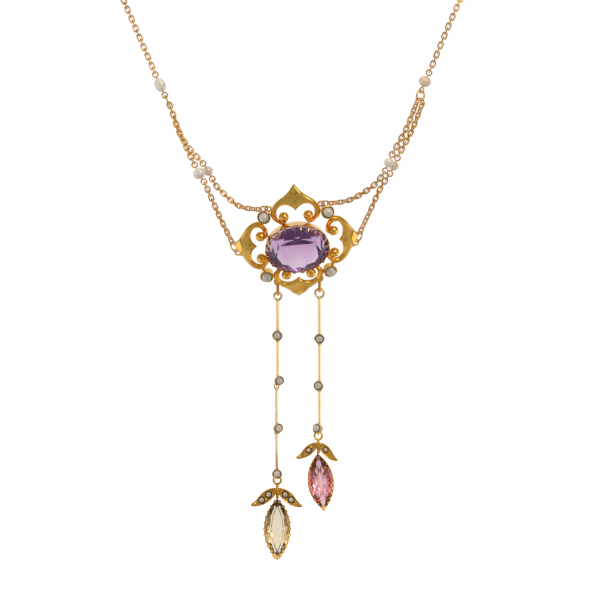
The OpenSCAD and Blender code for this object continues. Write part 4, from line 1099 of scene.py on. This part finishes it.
citrine_rings = [((0.84, 0.54), 0.95), ((0.93, 0.8), 0.55), (1, 0.1), (1, -0.1),
                 ((0.9, 0.74), -0.42), ((0.78, 0.48), -1.0)]
tourmaline_rings = [((0.8, 0.5), 0.95), ((0.9, 0.78), 0.55), (1, 0.1), (1, -0.1),
                    ((0.84, 0.6), -0.62), ((0.45, 0.13), -1.45)]
stones = [("citrine", citrine_rings, (0.8, 0.8, 0.8), (0.93, 0.64, 0.3), 1.55),
          ("tourmaline", tourmaline_rings, (0.88, 0.8, 0.8), (0.88, 0.34, 0.38), 1.63)]
for (side, _, size, hinge, _), (name, rings, *light) in zip(drops, stones):
    stone = cut_stone(size[0], size[1], rings, True)
    piece(f"{name}_stone", [on_stone(stone, size, hinge)], stone_finish(name, *light), [name],
          f"{side}_pendant", 0)

for drop_side, leaves, size, hinge, _ in drops:
    places = [(seat, scale, droop, side) for side, (scale, droop, seats) in enumerate(leaves)
              for seat in seats]
    for k, (seat, *place) in enumerate(places):
        name = f"{drop_side}_leaf_pearl_{k + 1}"
        at = [seat, seat_up(seat), leaf_t / 2 - 0.08]
        points, faces = moved(ball(leaf_pearl_r, 0.95, 12, 20), at=at)
        dome = (np.maximum(points, [-np.inf, -np.inf, leaf_t / 2 - 0.36]), faces)
        dome = on_leaf(dome, *place, hinge - [0, 0, size[7]])
        piece(name.replace("pearl", "half_pearl"), [dome], grey_pearl, [name],
              f"{drop_side}_pendant")

# Drilled pearls
# Six natural pearls in the chain, none of them round: the upper left one is drawn out, the
# others are squat. Each turns on a wire with a ring bent at both ends.
bead_white = pearl_finish("bead_white", (0.82, 0.72, 0.59), (0.68, 0.58, 0.45), 0.26)
bead_cream = pearl_finish("bead_cream", (0.82, 0.64, 0.43), (0.68, 0.5, 0.31), 0.26)
# middle, direction of the hole, width, length, cream or white
beads = {
    "left_upper": ([-27.2, -95, -66.95], [0.42, 0, -0.91], 2.3, 2.9, bead_white),
    "right_upper": ([25.8, -95, -66.25], [-0.42, 0, -0.9], 2.6, 2.2, bead_cream),
    "left_outer": ([-19.35, -95.95, -84.65], [0.48, 0, -0.88], 2.7, 2.2, bead_white),
    "left_inner": ([-17.6, -94.05, -84.15], [0.5, 0, -0.86], 2.1, 2.0, bead_cream),
    "right_outer": ([19.6, -94, -83.15], [-0.4, 0, -0.9], 2.0, 1.9, bead_cream),
    "right_inner": ([18.55, -96, -82.5], [-0.35, 0, -0.94], 2.0, 1.9, bead_white)}
bead_hole = 0.42


def drilled_pearl(width, length, seed, rows=30, cols=36):
    """An ellipsoid with a hole along it, swelled and pinched by slow waves of the two angles."""
    start = np.arcsin(bead_hole / width)
    a = np.linspace(start, np.pi - start, rows)[:, None]
    b = angles(cols)[None]
    wave = 1 - 0.03 * (1 + np.sin(2 * b + seed)) - 0.02 * (1 + np.sin(3 * a + b + 2 * seed))
    wave = np.where(np.sin(a) > 0.5, wave, 1 - (1 - wave) * np.sin(a) * 2)
    skin = rings_about(width / 2 * np.sin(a) * wave, length / 2 * np.cos(a), cols)
    bore = np.linspace(-1, 1, 5)[1:-1, None] * length / 2 * np.cos(start)
    return sweep(np.concatenate([skin, rings_about(bead_hole / 2, bore, cols)]), round_way=True)


for k, (name, (at, way, width, length, finish)) in enumerate(beads.items()):
    turn = turned(np.array(way, float), 0) @ SIDEWAYS
    piece(f"{name}_pearl", [moved(drilled_pearl(width, length, 1.3 * k), turn, at)], finish,
          [f"{name}_bead"])

# Clasp
# A barrel clasp behind the neck: two turned halves that screw together, so that a fine seam
# runs round the middle. Each half has a beaded end and a ring for the last link.
clasp_half = np.array(
    [[0.05, 1.45], [0.1, 1.56], [0.6, 1.6], [2.2, 1.59], [3.1, 1.54], [3.2, 1.46], [3.26, 1.4],
     [3.32, 1.46], [3.42, 1.56], [3.54, 1.6], [3.66, 1.56], [3.76, 1.46], [3.82, 1.36],
     [3.9, 1.36], [4.15, 1.28], [4.38, 1.05], [4.5, 0.75], [4.56, 0.5], [4.62, 0.44],
     [4.7, 0.52], [4.82, 0.5], [4.85, 0.4]])
clasp_line = np.concatenate([clasp_half[::-1] * [-1, 1], [[0.0, 1.42]], clasp_half])
clasp_sides = 48
groove_r, groove_reach, groove_darkening = 1.41, 0.06, 0.8
end_ring_at, end_ring_r, end_ring_wire = 5.7, 0.7, 0.4
# The grooves and the seam are painted darker.
groove = (np.abs(clasp_line[:, 1] - groove_r) < groove_reach) * groove_darkening
barrel = (*lathe(clasp_line[:, ::-1], clasp_sides)[:2], np.repeat(groove, clasp_sides))
parts = [outward(moved(barrel, SIDEWAYS))]
for side in (-1, 1):
    parts.append(wire_ring(end_ring_r, end_ring_wire, [side * end_ring_at, 0, 0], np.eye(3)))
piece("clasp_gold", parts, chain_gold, ["clasp"])

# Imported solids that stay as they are
# The links, rings and wires are plain round wire; they only take their gold.
for name, node in frame["nodes"].items():
    if not node.hide_render:
        node.data.materials.clear()
        node.data.materials.append(chain_gold)
